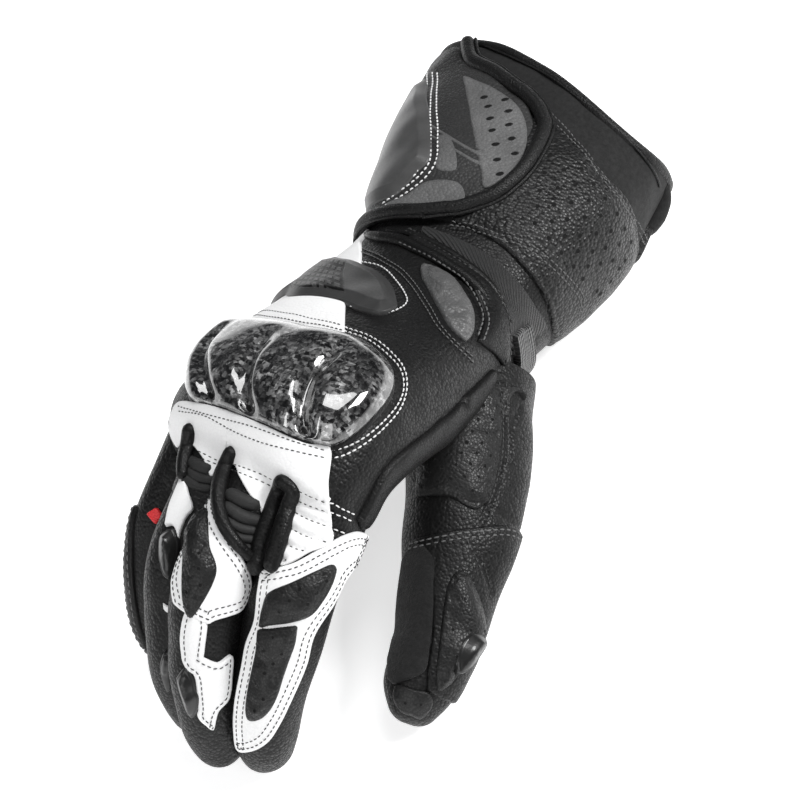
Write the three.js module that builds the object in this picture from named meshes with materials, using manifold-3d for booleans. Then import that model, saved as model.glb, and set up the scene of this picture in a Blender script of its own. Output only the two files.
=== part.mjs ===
// Motorcycle glove for the right hand, lying palm down on a surface.
// Units are millimetres, +Z is up and the surface is z = 0. Fingers point to -Y, the cuff to +Y,
// the thumb lies on the +X side and the back of the hand faces up.
//
// Every piece is cut from six soft tubes: one through cuff and hand, one along each finger and one
// along the thumb. A place on a tube is a station number, an angle around the tube and a lift above
// its leather. Angle 0 faces the thumb side, 90 the back of the hand, 180 the little finger side.

import * as THREE from 'three';
import { mergeVertices } from 'three/addons/utils/BufferGeometryUtils.js';
import Module from 'manifold-3d';

const wasm = await Module();
wasm.setup();

// Driving dimensions
const WALL = 2.0;
const PANEL = 1.4;
const PAD = 3.2;
const GUARD_PLATE = 2.8;
const BEZEL_TOP = 2.8;
const STRIP_TOP = 2.8;
const THUMB_SLIDER_TOP = 8;
const PIPING_LIFT = 3.2;
const PIPING_RADIUS = 2.3;
const BINDING_RADIUS = 2.2;
const BINDING_GAP = 0.6;
const LOOP_RADIUS = 2.4;
const GATHER_VALLEY = 1.1;
const GATHER_RIDGE = 2;

// Gap between neighbours, and how far a piece sits off the faceted leather that carries it
const GAP = 0.3;
const SEAT = 0.6;
const BODY_SEAT = 0.8;
const FINGER_CLEARANCE = 3;
const PANEL_TOP = SEAT + PANEL;
const ON_PANEL = PANEL_TOP + SEAT;
const BODY_PANEL_TOP = BODY_SEAT + PANEL;
const ON_BODY_PANEL = BODY_PANEL_TOP + BODY_SEAT;

// Stations where the cuff meets the hand, and where fingers and thumb meet their end pieces
const CUFF_END = 3;
const CUFF_JOINT = 0.006;
const FINGER_SPLIT = 3;
const THUMB_SPLIT = 2.2;

// Middle of the glove's outline on the surface, which becomes the origin
const OUTLINE_MIDDLE = [6.48, -25.35, 0];

// The cuff's opening is cut back over the thumb side of the arm and hangs further out below it.
// Columns: length in mm, middle angle, half the spread in degrees. It fades out by RIM_FADE.
const RIM_CUTS = [
  [11.5, 42, 70], [-5, -45, 28],
];
const RIM_FADE = 1.2;

// Facets around and along the tubes, and across the pieces laid on them
const BODY_SIDES = 28;
const HOLLOW_SIDES = 14;
const CUFF_STEPS = 4;
const HAND_STEPS = 8;
const FINGER_SIDES = 12;
const FINGER_STEPS = 8;
const THUMB_SIDES = 12;
const THUMB_STEPS = 9;
const BODY_FACET = 18;
const FINGER_FACET = 24;
const STATION_FACET = 0.45;
const BINDING_STEPS = 24;
const BINDING_SIDES = 6;
const STATION_STEP = 0.34;
const ANGLE_STEP = 12;

// Tube stations. Columns: centre x, y, z, half width towards the thumb side, height above and depth
// below the centre, lean of the section in degrees, squareness of the section, yaw in degrees.
const STATION_COLUMNS = ['x', 'y', 'z', 'wide', 'top', 'bottom', 'lean', 'square', 'yaw'];
const TUBES = {
  body: [
    [-5.5, 104, 31, 51.5, 29.5, 31.5, 2, 2.4, 16],
    [-3.5, 80, 31, 49.5, 30, 31.5, 2, 2.5, 13],
    [-1, 50, 31, 46, 31, 31.5, 3, 2.6, 6],
    [-1, 22, 31, 39, 28, 29, 5, 2.5, 0],
    [-4.5, 0, 33, 39.5, 27, 25, 7, 2.4, 0],
    [-5.5, -25, 41, 42.5, 26, 22, 9, 2.4, 0],
    [-6, -50, 52, 44.5, 25.5, 21, 11, 2.4, 3],
    [-6, -80, 64, 43, 24, 21, 14, 2.5, 8],
    [-6, -97, 62, 40.5, 19.5, 18, 15, 2.6, 11],
  ],
  index: [
    [24.8, -82.5, 70.4, 11.5, 14, 12, 0, 2.1, 0],
    [22.5, -104, 64, 12, 14, 11.5, 0, 2.1, 0],
    [21.5, -127, 53.2, 13.2, 13.5, 11.5, 0, 2.1, 0],
    [20.5, -139, 42, 12.6, 11.5, 10.5, 0, 2.1, 0],
    [19.5, -147.5, 31.1, 11.8, 12, 10.5, 0, 2.1, 0],
    [18, -155, 15.5, 9.8, 10.5, 9.5, 0, 2.1, 0],
    [17.5, -157.5, -1, 5, 6, 6, 0, 2, 0],
  ],
  middle: [
    [2.5, -83.5, 71.5, 11, 14, 12, 0, 2.1, 0],
    [1, -108, 66.5, 11, 13.5, 11.5, 0, 2.1, 0],
    [-0.5, -134.4, 58, 11.5, 13.5, 11.5, 0, 2.1, 0],
    [0.5, -147, 46, 11.2, 11.5, 10.5, 0, 2.1, 0],
    [2, -154.6, 33.1, 10.8, 12, 10.5, 0, 2.1, 0],
    [4, -160.2, 15, 9.2, 10, 9.5, 0, 2.1, 0],
    [4.3, -161.5, -1, 5, 6, 6, 0, 2, 0],
  ],
  ring: [
    [-18.7, -78.8, 66, 10.5, 14, 12, 8, 2.1, 0],
    [-19, -101, 60, 10.8, 13.5, 11.5, 6, 2.1, 0],
    [-18.5, -125, 52.3, 11, 13, 11.5, 4, 2.1, 0],
    [-16.5, -137, 42, 10.6, 11.5, 10.5, 3, 2.1, 0],
    [-14.8, -145.5, 30, 10.2, 11.5, 10.5, 2, 2.1, 0],
    [-13, -151.5, 14, 8.6, 9.5, 9, 0, 2.1, 0],
    [-12.5, -153, -1, 5, 6, 6, 0, 2, 0],
  ],
  little: [
    [-37.2, -70.2, 55, 10, 13, 11, 14, 2.1, 0],
    [-38, -88, 50, 10.2, 12.5, 10.5, 12, 2.1, 0],
    [-38.8, -107, 42.2, 10.5, 12, 10.5, 10, 2.1, 0],
    [-38.5, -117.5, 34.5, 10.4, 10.5, 9.5, 8, 2.1, 0],
    [-37.8, -125, 26, 10, 10.5, 9.5, 6, 2.1, 0],
    [-36.3, -132.5, 11.7, 8.2, 8.5, 8, 4, 2.1, 0],
    [-36, -134, -1, 5, 5, 5, 0, 2, 0],
  ],
  thumb: [
    [24.2, -19.1, 27.7, 21, 19, 18, 40, 2.2, 0],
    [36, -45, 24, 19.5, 23, 16.5, 40, 2.2, 0],
    [43, -67, 21.1, 17, 20, 15, 40, 2.2, 0],
    [50.6, -101.7, 15.2, 13.4, 13, 13, 35, 2.1, 0],
    [52.5, -112, 13.5, 12.5, 12.5, 12.5, 30, 2.1, 0],
    [53.5, -122.2, 11, 10.5, 11, 11, 25, 2.1, 0],
    [54, -131, 7, 5, 6, 6, 20, 2, 0],
  ],
};
const FINGERS = ['index', 'middle', 'ring', 'little'];
const BODY_LAST = TUBES.body.length - 1;
const FINGER_LAST = TUBES.index.length - 1;
const THUMB_LAST = TUBES.thumb.length - 1;

// Materials. Columns: colour, roughness, metalness
const FINISHES = {
  black_leather: [0x17181a, 0.62, 0],
  white_leather: [0xe6e7e8, 0.55, 0],
  grey_leather: [0x4c4e51, 0.55, 0],
  neoprene: [0x101113, 0.9, 0],
  stretch_fabric: [0x141517, 0.85, 0],
  suede: [0x111213, 0.95, 0],
  rubber_trim: [0x0e0f10, 0.5, 0],
  dark_plastic: [0x2a2c2e, 0.38, 0],
  carbon_shell: [0x5b5d60, 0.12, 0.1],
  red_tag: [0xc92025, 0.6, 0],
};

// Values and slopes of a tube's columns at station u, along a smooth curve through its rows
function station(tube, u) {
  const rows = TUBES[tube];
  const last = rows.length - 1;
  const first = Math.min(Math.max(Math.floor(u), 0), last - 1);
  const t = u - first;
  const value = {};
  const slope = {};
  STATION_COLUMNS.forEach((column, k) => {
    const b = rows[first][k];
    const c = rows[first + 1][k];
    const a = first > 0 ? rows[first - 1][k] : 2 * b - c;
    const d = first + 2 <= last ? rows[first + 2][k] : 2 * c - b;
    const square = 2 * a - 5 * b + 4 * c - d;
    const cube = 3 * b - a - 3 * c + d;
    value[column] = 0.5 * (2 * b + (c - a) * t + square * t * t + cube * t ** 3);
    slope[column] = 0.5 * (c - a + 2 * square * t + 3 * cube * t * t);
  });
  return { value, slope };
}

// Centre, direction and section axes of a tube at station u
function frameAt(tube, u) {
  const { value, slope } = station(tube, u);
  const along = new THREE.Vector3(slope.x, slope.y, slope.z).normalize();
  const side = new THREE.Vector3(1, 0, 0).addScaledVector(along, -along.x).normalize();
  const rise = new THREE.Vector3().crossVectors(along, side);
  const lean = THREE.MathUtils.degToRad(value.lean);
  const across = side.clone().multiplyScalar(Math.cos(lean)).addScaledVector(rise, Math.sin(lean));
  const up = rise.clone().multiplyScalar(Math.cos(lean)).addScaledVector(side, -Math.sin(lean));
  across.addScaledVector(along, Math.tan(THREE.MathUtils.degToRad(value.yaw)));
  return { value, along, across, up, centre: new THREE.Vector3(value.x, value.y, value.z) };
}

// How far the cuff is cut back at station u and an angle
function rimCut(u, degrees) {
  const turned = ((((degrees + 180) % 360) + 360) % 360) - 180;
  const fade = Math.max(0, 1 - u / RIM_FADE);
  let cut = 0;
  for (const [length, middle, spread] of RIM_CUTS) {
    const off = (turned - middle) / spread;
    if (Math.abs(off) < 1) cut += length * (1 - off * off) ** 2;
  }
  return cut * fade;
}

// Point on a tube at station u and an angle in degrees, lifted off its surface
function pointAt(tube, u, degrees, lift = 0) {
  const { value, across, up, centre } = frameAt(tube, u);
  const angle = THREE.MathUtils.degToRad(degrees);
  const cos = Math.cos(angle);
  const sin = Math.sin(angle);
  const power = 2 / value.square;
  const high = (sin >= 0 ? value.top : value.bottom) + lift;
  const x = (value.wide + lift) * Math.sign(cos) * Math.abs(cos) ** power;
  const y = high * Math.sign(sin) * Math.abs(sin) ** power;
  const point = centre.addScaledVector(across, x).addScaledVector(up, y);
  if (tube === 'body') point.y -= rimCut(u, degrees);
  return point;
}

// Closed geometry from points and triangles, turned so that its faces point out
function closedGeometry(points, triangles) {
  let volume = 0;
  for (const [a, b, c] of triangles) {
    volume += points[a].dot(new THREE.Vector3().crossVectors(points[b], points[c]));
  }
  const faces = volume < 0 ? triangles.map(([a, b, c]) => [a, c, b]) : triangles;
  const places = points.flatMap((p) => p.toArray());
  const geometry = new THREE.BufferGeometry();
  geometry.setAttribute('position', new THREE.Float32BufferAttribute(places, 3));
  geometry.setIndex(faces.flat());
  return geometry;
}

// Solid for joining and cutting, from any closed geometry
function toSolid(geometry) {
  const plain = geometry.clone();
  plain.deleteAttribute('normal');
  plain.deleteAttribute('uv');
  const merged = mergeVertices(plain, 1e-4);
  const vertProperties = new Float32Array(merged.attributes.position.array);
  const triVerts = new Uint32Array(merged.index.array);
  return new wasm.Manifold(new wasm.Mesh({ numProp: 3, vertProperties, triVerts }));
}

// Solid tube between two stations, with flat ends
function tubeSolid(tube, start, end, lift, steps, sides) {
  const points = [];
  const triangles = [];
  for (let i = 0; i <= steps; i += 1) {
    const u = start + ((end - start) * i) / steps;
    for (let j = 0; j < sides; j += 1) {
      points.push(pointAt(tube, u, (360 * j) / sides, lift));
    }
  }
  for (let i = 0; i < steps; i += 1) {
    for (let j = 0; j < sides; j += 1) {
      const a = i * sides + j;
      const b = i * sides + ((j + 1) % sides);
      triangles.push([a, b, b + sides], [a, b + sides, a + sides]);
    }
  }
  const startCentre = points.push(frameAt(tube, start).centre) - 1;
  const endCentre = points.push(frameAt(tube, end).centre) - 1;
  const endRing = steps * sides;
  for (let j = 0; j < sides; j += 1) {
    const next = (j + 1) % sides;
    triangles.push([startCentre, next, j], [endCentre, endRing + j, endRing + next]);
  }
  return toSolid(closedGeometry(points, triangles));
}

// Value of a table's column at a place between its rows
function readTable(rows, at, column) {
  let k = 0;
  while (k < rows.length - 2 && at > rows[k + 1][0]) k += 1;
  const share = (at - rows[k][0]) / (rows[k + 1][0] - rows[k][0]);
  return rows[k][column] + (rows[k + 1][column] - rows[k][column]) * share;
}

// Places along a table's first column, no two much further apart than the step
function placesAlong(rows, step) {
  const places = [rows[0][0]];
  for (let k = 1; k < rows.length; k += 1) {
    const span = rows[k][0] - rows[k - 1][0];
    const count = Math.max(1, Math.round(span / step));
    for (let i = 1; i <= count; i += 1) places.push(rows[k - 1][0] + (span * i) / count);
  }
  return places;
}

// Piece of leather, pad or plate laid on a tube. Table columns: at, from, to. A table that runs
// along the tube has stations in 'at' and angles in 'from' and 'to', and one that runs around it
// has angles in 'at' and stations in 'from' and 'to'. The height function gives the top's lift.
function patchSolid({ tube, around = false, rows, low = SEAT, height, step }) {
  const widest = Math.max(...rows.map(([, from, to]) => to - from));
  const angleFacet = tube === 'body' ? BODY_FACET : FINGER_FACET;
  const columns = Math.max(2, Math.ceil(widest / (around ? STATION_FACET : angleFacet)));
  const places = placesAlong(rows, step ?? (around ? ANGLE_STEP : STATION_STEP));
  const points = [];
  const triangles = [];
  const width = columns + 1;
  const layer = places.length * width;
  for (const top of [false, true]) {
    places.forEach((at, i) => {
      const from = readTable(rows, at, 1);
      const to = readTable(rows, at, 2);
      for (let j = 0; j <= columns; j += 1) {
        const share = j / columns;
        const other = from + (to - from) * share;
        const rim = i === 0 || i === places.length - 1 || j === 0 || j === columns;
        const lift = top ? height({ at, share, rim }) : low;
        points.push(around ? pointAt(tube, other, at, lift) : pointAt(tube, at, other, lift));
      }
    });
  }
  const cell = (a, b, c, d) => triangles.push([a, b, c], [a, c, d]);
  for (let i = 0; i < places.length - 1; i += 1) {
    for (let j = 0; j < columns; j += 1) {
      const a = i * width + j;
      cell(a, a + width, a + width + 1, a + 1);
      cell(layer + a, layer + a + 1, layer + a + width + 1, layer + a + width);
    }
    const left = i * width;
    const right = left + columns;
    cell(left, layer + left, layer + left + width, left + width);
    cell(right, right + width, layer + right + width, layer + right);
  }
  for (let j = 0; j < columns; j += 1) {
    const end = layer - width + j;
    cell(j, j + 1, layer + j + 1, layer + j);
    cell(end, layer + end, layer + end + 1, end + 1);
  }
  return toSolid(closedGeometry(points, triangles));
}

// Height functions: an even sheet, and a cushion from its edge up to its crown
const sheet = (top) => () => top;
const cushion = (edge, crown) => ({ share, rim }) => {
  const swell = 0.6 + 0.4 * Math.sin(Math.PI * share);
  return rim ? edge : edge + (crown - edge) * swell;
};

// Round bar along a smooth curve through points
function barSolid(points, radius, steps) {
  const section = new THREE.Shape();
  section.absarc(0, 0, radius, 0, 2 * Math.PI, false);
  const extrudePath = new THREE.CatmullRomCurve3(points);
  const options = { steps, extrudePath, curveSegments: 3, bevelEnabled: false };
  return toSolid(new THREE.ExtrudeGeometry(section, options));
}

// Block that covers everything past a station of a tube
function beyond(tube, u, offset = 0) {
  const { centre, along } = frameAt(tube, u);
  const size = 120;
  const block = new THREE.BoxGeometry(size, size, size).translate(0, 0, size / 2 + offset);
  const turn = new THREE.Quaternion().setFromUnitVectors(new THREE.Vector3(0, 0, 1), along);
  return toSolid(block.applyQuaternion(turn).translate(centre.x, centre.y, centre.z));
}

// Everything below the surface that the glove lies on
const floorSolid = toSolid(new THREE.BoxGeometry(1000, 1000, 200).translate(0, 0, -100));
const aboveFloor = (solid) => solid.subtract(floorSolid);

const group = new THREE.Group();

// One named mesh from a solid, moved so that the outline's middle is the origin
function addPiece(name, finish, solid) {
  const [color, roughness, metalness] = FINISHES[finish];
  const { vertProperties, triVerts } = solid.getMesh();
  const geometry = new THREE.BufferGeometry();
  geometry.setAttribute('position', new THREE.BufferAttribute(new Float32Array(vertProperties), 3));
  geometry.setIndex(new THREE.BufferAttribute(new Uint32Array(triVerts), 1));
  const [x, y, z] = OUTLINE_MIDDLE;
  geometry.translate(-x, -y, -z);
  const mesh = new THREE.Mesh(geometry, new THREE.MeshStandardMaterial({ color, roughness, metalness }));
  mesh.name = name;
  group.add(mesh);
}

// Space inside the cuff and hand, and the space that their leather takes with its gap
const bodyHollow = tubeSolid('body', -0.1, BODY_LAST - 0.12, -WALL, 7, HOLLOW_SIDES);
const cuffClear = tubeSolid('body', 0, CUFF_END, GAP, CUFF_STEPS, BODY_SIDES);
const handClear = tubeSolid('body', CUFF_END + CUFF_JOINT, BODY_LAST, GAP, HAND_STEPS, BODY_SIDES);
const endClear = tubeSolid('body', BODY_LAST - 0.3, BODY_LAST + 0.02, GAP, 1, BODY_SIDES);
const bodyClear = cuffClear.add(handClear).add(endClear);

// Outside, inside and clear space of each finger, the later ones cut back from the one before
const fingerOuter = {};
const fingerInner = {};
const fingerClear = {};
FINGERS.forEach((finger, k) => {
  let outer = tubeSolid(finger, 0, FINGER_LAST, 0, FINGER_STEPS, FINGER_SIDES);
  let inner = tubeSolid(finger, -0.3, FINGER_LAST - 0.6, -WALL, 5, 8);
  if (k > 0) {
    const before = FINGERS[k - 1];
    outer = outer.subtract(tubeSolid(before, 0, FINGER_LAST, FINGER_CLEARANCE, 5, 8));
    inner = inner.subtract(tubeSolid(before, 0, FINGER_LAST, FINGER_CLEARANCE + WALL, 5, 8));
  }
  fingerOuter[finger] = outer;
  fingerInner[finger] = inner;
  fingerClear[finger] = tubeSolid(finger, 0, FINGER_LAST, GAP, FINGER_STEPS, FINGER_SIDES);
});

const thumbOuter = tubeSolid('thumb', 0, THUMB_LAST, 0, THUMB_STEPS, THUMB_SIDES);
const thumbInner = tubeSolid('thumb', -0.15, THUMB_LAST - 0.45, -WALL, 6, 10);
const thumbClear = tubeSolid('thumb', 0, THUMB_LAST, GAP, THUMB_STEPS, THUMB_SIDES);

// Piece laid on the cuff or the hand
function onBody(rows, height, options = {}) {
  return patchSolid({ tube: 'body', rows, height, low: BODY_SEAT, ...options });
}

// Piece laid on a finger, clear of the hand's end and of the finger beside it
const handEnd = tubeSolid('body', 6, BODY_LAST + 0.02, 6, 4, BODY_SIDES);
function onFinger(finger, rows, height, options = {}) {
  const k = FINGERS.indexOf(finger);
  let piece = patchSolid({ tube: finger, rows, height, ...options }).subtract(handEnd);
  if (k > 0) {
    const beside = tubeSolid(FINGERS[k - 1], 0, FINGER_LAST, FINGER_CLEARANCE, FINGER_STEPS, FINGER_SIDES);
    piece = piece.subtract(beside);
  }
  return aboveFloor(piece);
}

// Raised strip along the thumb side of the hand. Columns: station, from angle, to angle
const SIDE_STRIP = [
  [5.08, -5, 1], [5.4, -22, 1], [5.8, -29, 0], [6.25, -34, -3], [6.55, -33, -4], [7.23, -27, -3],
  [7.65, -24, -2], [7.8, -24, -3],
];
const stripClear = onBody(SIDE_STRIP, sheet(STRIP_TOP + SEAT), { low: 0 });

// Piece laid on the thumb, clear of the hand and of the strip
function onThumb(rows, height, options = {}) {
  const piece = patchSolid({ tube: 'thumb', rows, height, low: BODY_SEAT, ...options });
  return aboveFloor(piece.subtract(bodyClear).subtract(stripClear));
}

// A solid without the slivers that its cuts leave beside it
function mainBody(solid) {
  return solid.decompose().reduce((a, b) => (a.volume() > b.volume() ? a : b));
}

// Cuff and hand: two hollow shells that meet at the wrist, open into the fingers and the thumb
function cuffShell() {
  const outer = tubeSolid('body', 0, CUFF_END - CUFF_JOINT, 0, CUFF_STEPS, BODY_SIDES);
  return aboveFloor(outer.subtract(bodyHollow));
}

function handShell() {
  const outer = tubeSolid('body', CUFF_END + CUFF_JOINT, BODY_LAST, 0, HAND_STEPS, BODY_SIDES);
  let shell = outer.subtract(bodyHollow).subtract(thumbInner);
  for (const finger of FINGERS) shell = shell.subtract(fingerInner[finger]);
  return aboveFloor(shell);
}

addPiece('cuff_shell', 'neoprene', cuffShell());
addPiece('hand_shell', 'black_leather', handShell());

// Fingers and thumb: each a hollow base that is open at both ends, and a hollow end piece
for (const finger of FINGERS) {
  const shell = aboveFloor(fingerOuter[finger].subtract(fingerInner[finger]).subtract(bodyClear));
  addPiece(`${finger}_finger`, 'black_leather', mainBody(shell.subtract(beyond(finger, FINGER_SPLIT))));
  addPiece(`${finger}_fingertip`, 'black_leather', shell.intersect(beyond(finger, FINGER_SPLIT, GAP)));
}
const thumbShell = aboveFloor(thumbOuter.subtract(thumbInner).subtract(bodyClear).subtract(stripClear));
addPiece('thumb_base', 'black_leather', thumbShell.subtract(beyond('thumb', THUMB_SPLIT)));
addPiece('thumb_end', 'black_leather', thumbShell.intersect(beyond('thumb', THUMB_SPLIT, GAP)));

// Rolled binding along the cuff's opening, as a closed ring with an even section
function cuffBinding() {
  const { along } = frameAt('body', 0);
  const points = [];
  const triangles = [];
  for (let k = 0; k < BINDING_STEPS; k += 1) {
    const angle = (360 * k) / BINDING_STEPS;
    const outward = pointAt('body', 0, angle, 1).sub(pointAt('body', 0, angle, 0)).normalize();
    const centre = pointAt('body', 0, angle, -WALL / 2).addScaledVector(along, -(BINDING_RADIUS + BINDING_GAP));
    for (let j = 0; j < BINDING_SIDES; j += 1) {
      const turn = (2 * Math.PI * (j + 0.5)) / BINDING_SIDES;
      const out = BINDING_RADIUS * Math.cos(turn);
      const on = BINDING_RADIUS * Math.sin(turn);
      points.push(centre.clone().addScaledVector(outward, out).addScaledVector(along, on));
      const next = ((k + 1) % BINDING_STEPS) * BINDING_SIDES;
      const a = k * BINDING_SIDES + j;
      const b = k * BINDING_SIDES + ((j + 1) % BINDING_SIDES);
      const c = next + ((j + 1) % BINDING_SIDES);
      const d = next + j;
      triangles.push([a, b, c], [a, c, d]);
    }
  }
  return aboveFloor(toSolid(closedGeometry(points, triangles)));
}

addPiece('cuff_binding', 'rubber_trim', cuffBinding());

// Flap that closes the cuff, with a round end. Columns: station, from angle, to angle
const FLAP = [
  [0.06, 127, 186], [0.4, 119, 188], [0.55, 103, 188], [0.75, 92, 188], [1.05, 84, 188],
  [1.43, 80, 188], [1.9, 79, 188], [2.3, 81, 188], [2.7, 90, 188], [2.9, 101, 188],
  [2.99, 114, 188], [3.06, 132, 184],
];
// Middle of the flap's piping. Columns: station, angle
const FLAP_EDGE = [
  [0.04, 122], [0.4, 114], [0.55, 98.5], [0.76, 87.5], [1.05, 80], [1.43, 76], [1.9, 75],
  [2.3, 77], [2.7, 85], [2.98, 96], [3.1, 112], [3.18, 130], [3.2, 152], [3.18, 176],
];

function pipingSolid(radius) {
  const route = FLAP_EDGE.map(([u, angle]) => pointAt('body', u, angle, PIPING_LIFT));
  return barSolid(route, radius, 22);
}

const cuffFlap = onBody(FLAP, sheet(BODY_PANEL_TOP)).subtract(pipingSolid(PIPING_RADIUS + GAP));
addPiece('cuff_flap', 'grey_leather', cuffFlap);
addPiece('flap_piping', 'rubber_trim', pipingSolid(PIPING_RADIUS));

// Hard plate on the flap. Columns: station, from angle, to angle
const CUFF_GUARD = [
  [0.8, 141, 152], [1.2, 128, 170], [1.58, 116, 174], [2.18, 106, 176], [2.4, 110, 174],
  [2.7, 117, 160], [2.8, 130, 148],
];
const guardHeight = cushion(ON_BODY_PANEL + 1.2, ON_BODY_PANEL + GUARD_PLATE);
addPiece('cuff_guard', 'dark_plastic', onBody(CUFF_GUARD, guardHeight, { low: ON_BODY_PANEL + GAP }));

// Panels around the wrist side of the cuff. Columns: angle, from station, to station
const PERFORATED_PANEL = [
  [-44, 1.42, 3.02], [-20, 1.42, 3.1], [0, 1.42, 3.14], [42, 1.42, 3.12], [56, 1.28, 3.08],
  [69, 1.1, 3.02],
];
const TWILL_PANEL = [
  [12, 3.28, 4.34], [40, 3.28, 4.16], [55, 3.26, 3.98], [68, 3.24, 3.84], [84, 3.22, 3.5],
  [94, 3.22, 3.32],
];
const WRIST_STRAP = [[-112, 3.6, 4.26], [-50, 3.55, 4.3], [8, 3.5, 4.34]];
const CRESCENT_BAND = [
  [-4, 4.58, 4.95], [12, 4.44, 5], [27, 4.32, 4.98], [35, 4.25, 4.82], [45, 4.2, 4.6],
  [55, 4.1, 4.42], [65, 4, 4.24], [75, 3.93, 4.08],
];
const CRESCENT_PAD = [
  [27, 5.14, 5.26], [35, 4.9, 5.28], [45, 4.68, 5.15], [55, 4.48, 5.0], [65, 4.3, 4.8],
  [75, 4.14, 4.6], [86, 4.1, 4.25],
];
const aroundBody = (rows, height, options) => onBody(rows, height, { around: true, ...options });
const wristStrap = aboveFloor(aroundBody(WRIST_STRAP, sheet(BODY_PANEL_TOP + 1)));
const crescentBand = aroundBody(CRESCENT_BAND, sheet(BODY_PANEL_TOP)).subtract(thumbClear);
addPiece('perforated_panel', 'black_leather', aroundBody(PERFORATED_PANEL, sheet(BODY_PANEL_TOP)));
addPiece('twill_panel', 'stretch_fabric', aroundBody(TWILL_PANEL, sheet(BODY_PANEL_TOP)));
addPiece('wrist_strap', 'black_leather', wristStrap);
addPiece('crescent_band', 'black_leather', crescentBand);
addPiece('crescent_pad', 'grey_leather', aroundBody(CRESCENT_PAD, cushion(PAD / 2, PAD)));

// Short tab below the cuff's opening. Columns: station, from angle, to angle
const CUFF_TAB = [[0.5, -54, -22], [1.15, -50, -24]];
addPiece('cuff_tab', 'rubber_trim', aboveFloor(onBody(CUFF_TAB, cushion(1.6, 3.6))));

// White leather over the back of the hand. Columns: station, from angle, to angle
const WHITE_UPPER_PANEL = [[3.42, 127, 165], [4.15, 120, 172], [5.58, 93, 172], [6, 86, 172]];
addPiece('white_upper_panel', 'white_leather', onBody(WHITE_UPPER_PANEL, sheet(BODY_PANEL_TOP)));

// Plate on the white leather. Columns: angle, from station, to station
const UPPER_GUARD = [
  [74, 5.33, 5.5], [80, 5.08, 5.6], [88, 4.86, 5.58], [96, 4.62, 5.56], [112, 4.35, 5.52],
  [130, 4.2, 5.48], [150, 4.1, 5.4], [162, 4.3, 5.25],
];
const upperHeight = cushion(ON_BODY_PANEL + 1, ON_BODY_PANEL + PAD);
addPiece('upper_guard', 'dark_plastic', aroundBody(UPPER_GUARD, upperHeight, { low: ON_BODY_PANEL }));

// Knuckle guard, and the leather frame around it. Columns: angle, from station, to station
const KNUCKLE_GUARD = [
  [22, 6.75, 7], [30, 6.58, 7.23], [40, 6.48, 7.38], [56, 6.42, 7.42], [79, 6.38, 7.45],
  [95, 6.34, 7.43], [112, 6.26, 7.4], [125, 6.3, 7.3], [134, 6.45, 7.15], [141, 6.65, 6.9],
];
const KNUCKLE_BEZEL = [
  [16, 6.72, 7.05], [24, 6.45, 7.25], [36, 6.32, 7.5], [56, 6.24, 7.6], [79, 6.2, 7.62],
  [95, 6.1, 7.6], [112, 6.07, 7.57], [126, 6.12, 7.47], [138, 6.3, 7.25], [146, 6.6, 6.95],
];
// Angles of the four knuckles under the guard
const KNUCKLE_ANGLES = [41, 69, 89, 107];
const KNUCKLE_REACH = 11;

// Guard over the knuckles, domed above each of them
function knuckleGuard() {
  const height = ({ at, share, rim }) => {
    const nearest = Math.min(...KNUCKLE_ANGLES.map((angle) => Math.abs(angle - at)));
    const dome = 0.5 + 0.5 * Math.cos(Math.PI * Math.min(1, nearest / KNUCKLE_REACH));
    return rim ? BEZEL_TOP + 1 : BEZEL_TOP + 3 + 2.6 * Math.sin(Math.PI * share) + 1.4 * dome;
  };
  return aroundBody(KNUCKLE_GUARD, height, { step: 8 });
}

// Frame around the knuckle guard, with a window that clears it
function knuckleBezel() {
  const frame = aroundBody(KNUCKLE_BEZEL, sheet(BEZEL_TOP), { step: 14 });
  const ends = { 0: -0.6, [KNUCKLE_GUARD.length - 1]: 0.6 };
  const widened = ([angle, from, to], k) => [angle + (ends[k] ?? 0), from - 0.02, to + 0.02];
  const window = KNUCKLE_GUARD.map(widened);
  return frame.subtract(aroundBody(window, sheet(BEZEL_TOP + 3), { low: -1, step: 12 }));
}

addPiece('knuckle_bezel', 'black_leather', knuckleBezel());
addPiece('knuckle_guard', 'carbon_shell', knuckleGuard());
const sideStrip = onBody(SIDE_STRIP, cushion(1.6, STRIP_TOP)).subtract(fingerClear.index);
addPiece('side_strip', 'rubber_trim', sideStrip);

// Rounded loops in the valleys between the fingers. Columns: tube, station, angle, lift
const LOOPS = {
  index_loop: {
    beside: ['index', 'middle'],
    path: [
      ['body', 7.84, 54, 5.4], ['body', 8, 53, 5.2], ['index', 1.2, 132, 3.4], ['index', 1.5, 130, 3],
      ['index', 1.78, 128, 2.8],
    ],
  },
  middle_loop: {
    beside: ['middle', 'ring'],
    path: [['body', 7.8, 86, 5.2], ['body', 7.99, 86, 5], ['middle', 1.06, 138, 3.4]],
  },
  ring_loop: {
    beside: ['ring', 'little'],
    path: [
      ['body', 7.7, 103, 5.2], ['body', 7.97, 102, 5], ['ring', 1.2, 128, 3.6], ['ring', 1.4, 130, 3.2],
    ],
  },
};
const loopBar = (path, radius) => barSolid(path.map((place) => pointAt(...place)), radius, 10);
for (const [name, { beside, path }] of Object.entries(LOOPS)) {
  const bar = loopBar(path, LOOP_RADIUS);
  addPiece(name, 'black_leather', beside.reduce((rest, finger) => rest.subtract(fingerClear[finger]), bar));
}
const clearOfLoops = (solid) =>
  Object.values(LOOPS).reduce((rest, { path }) => rest.subtract(loopBar(path, LOOP_RADIUS + GAP)), solid);

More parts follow.
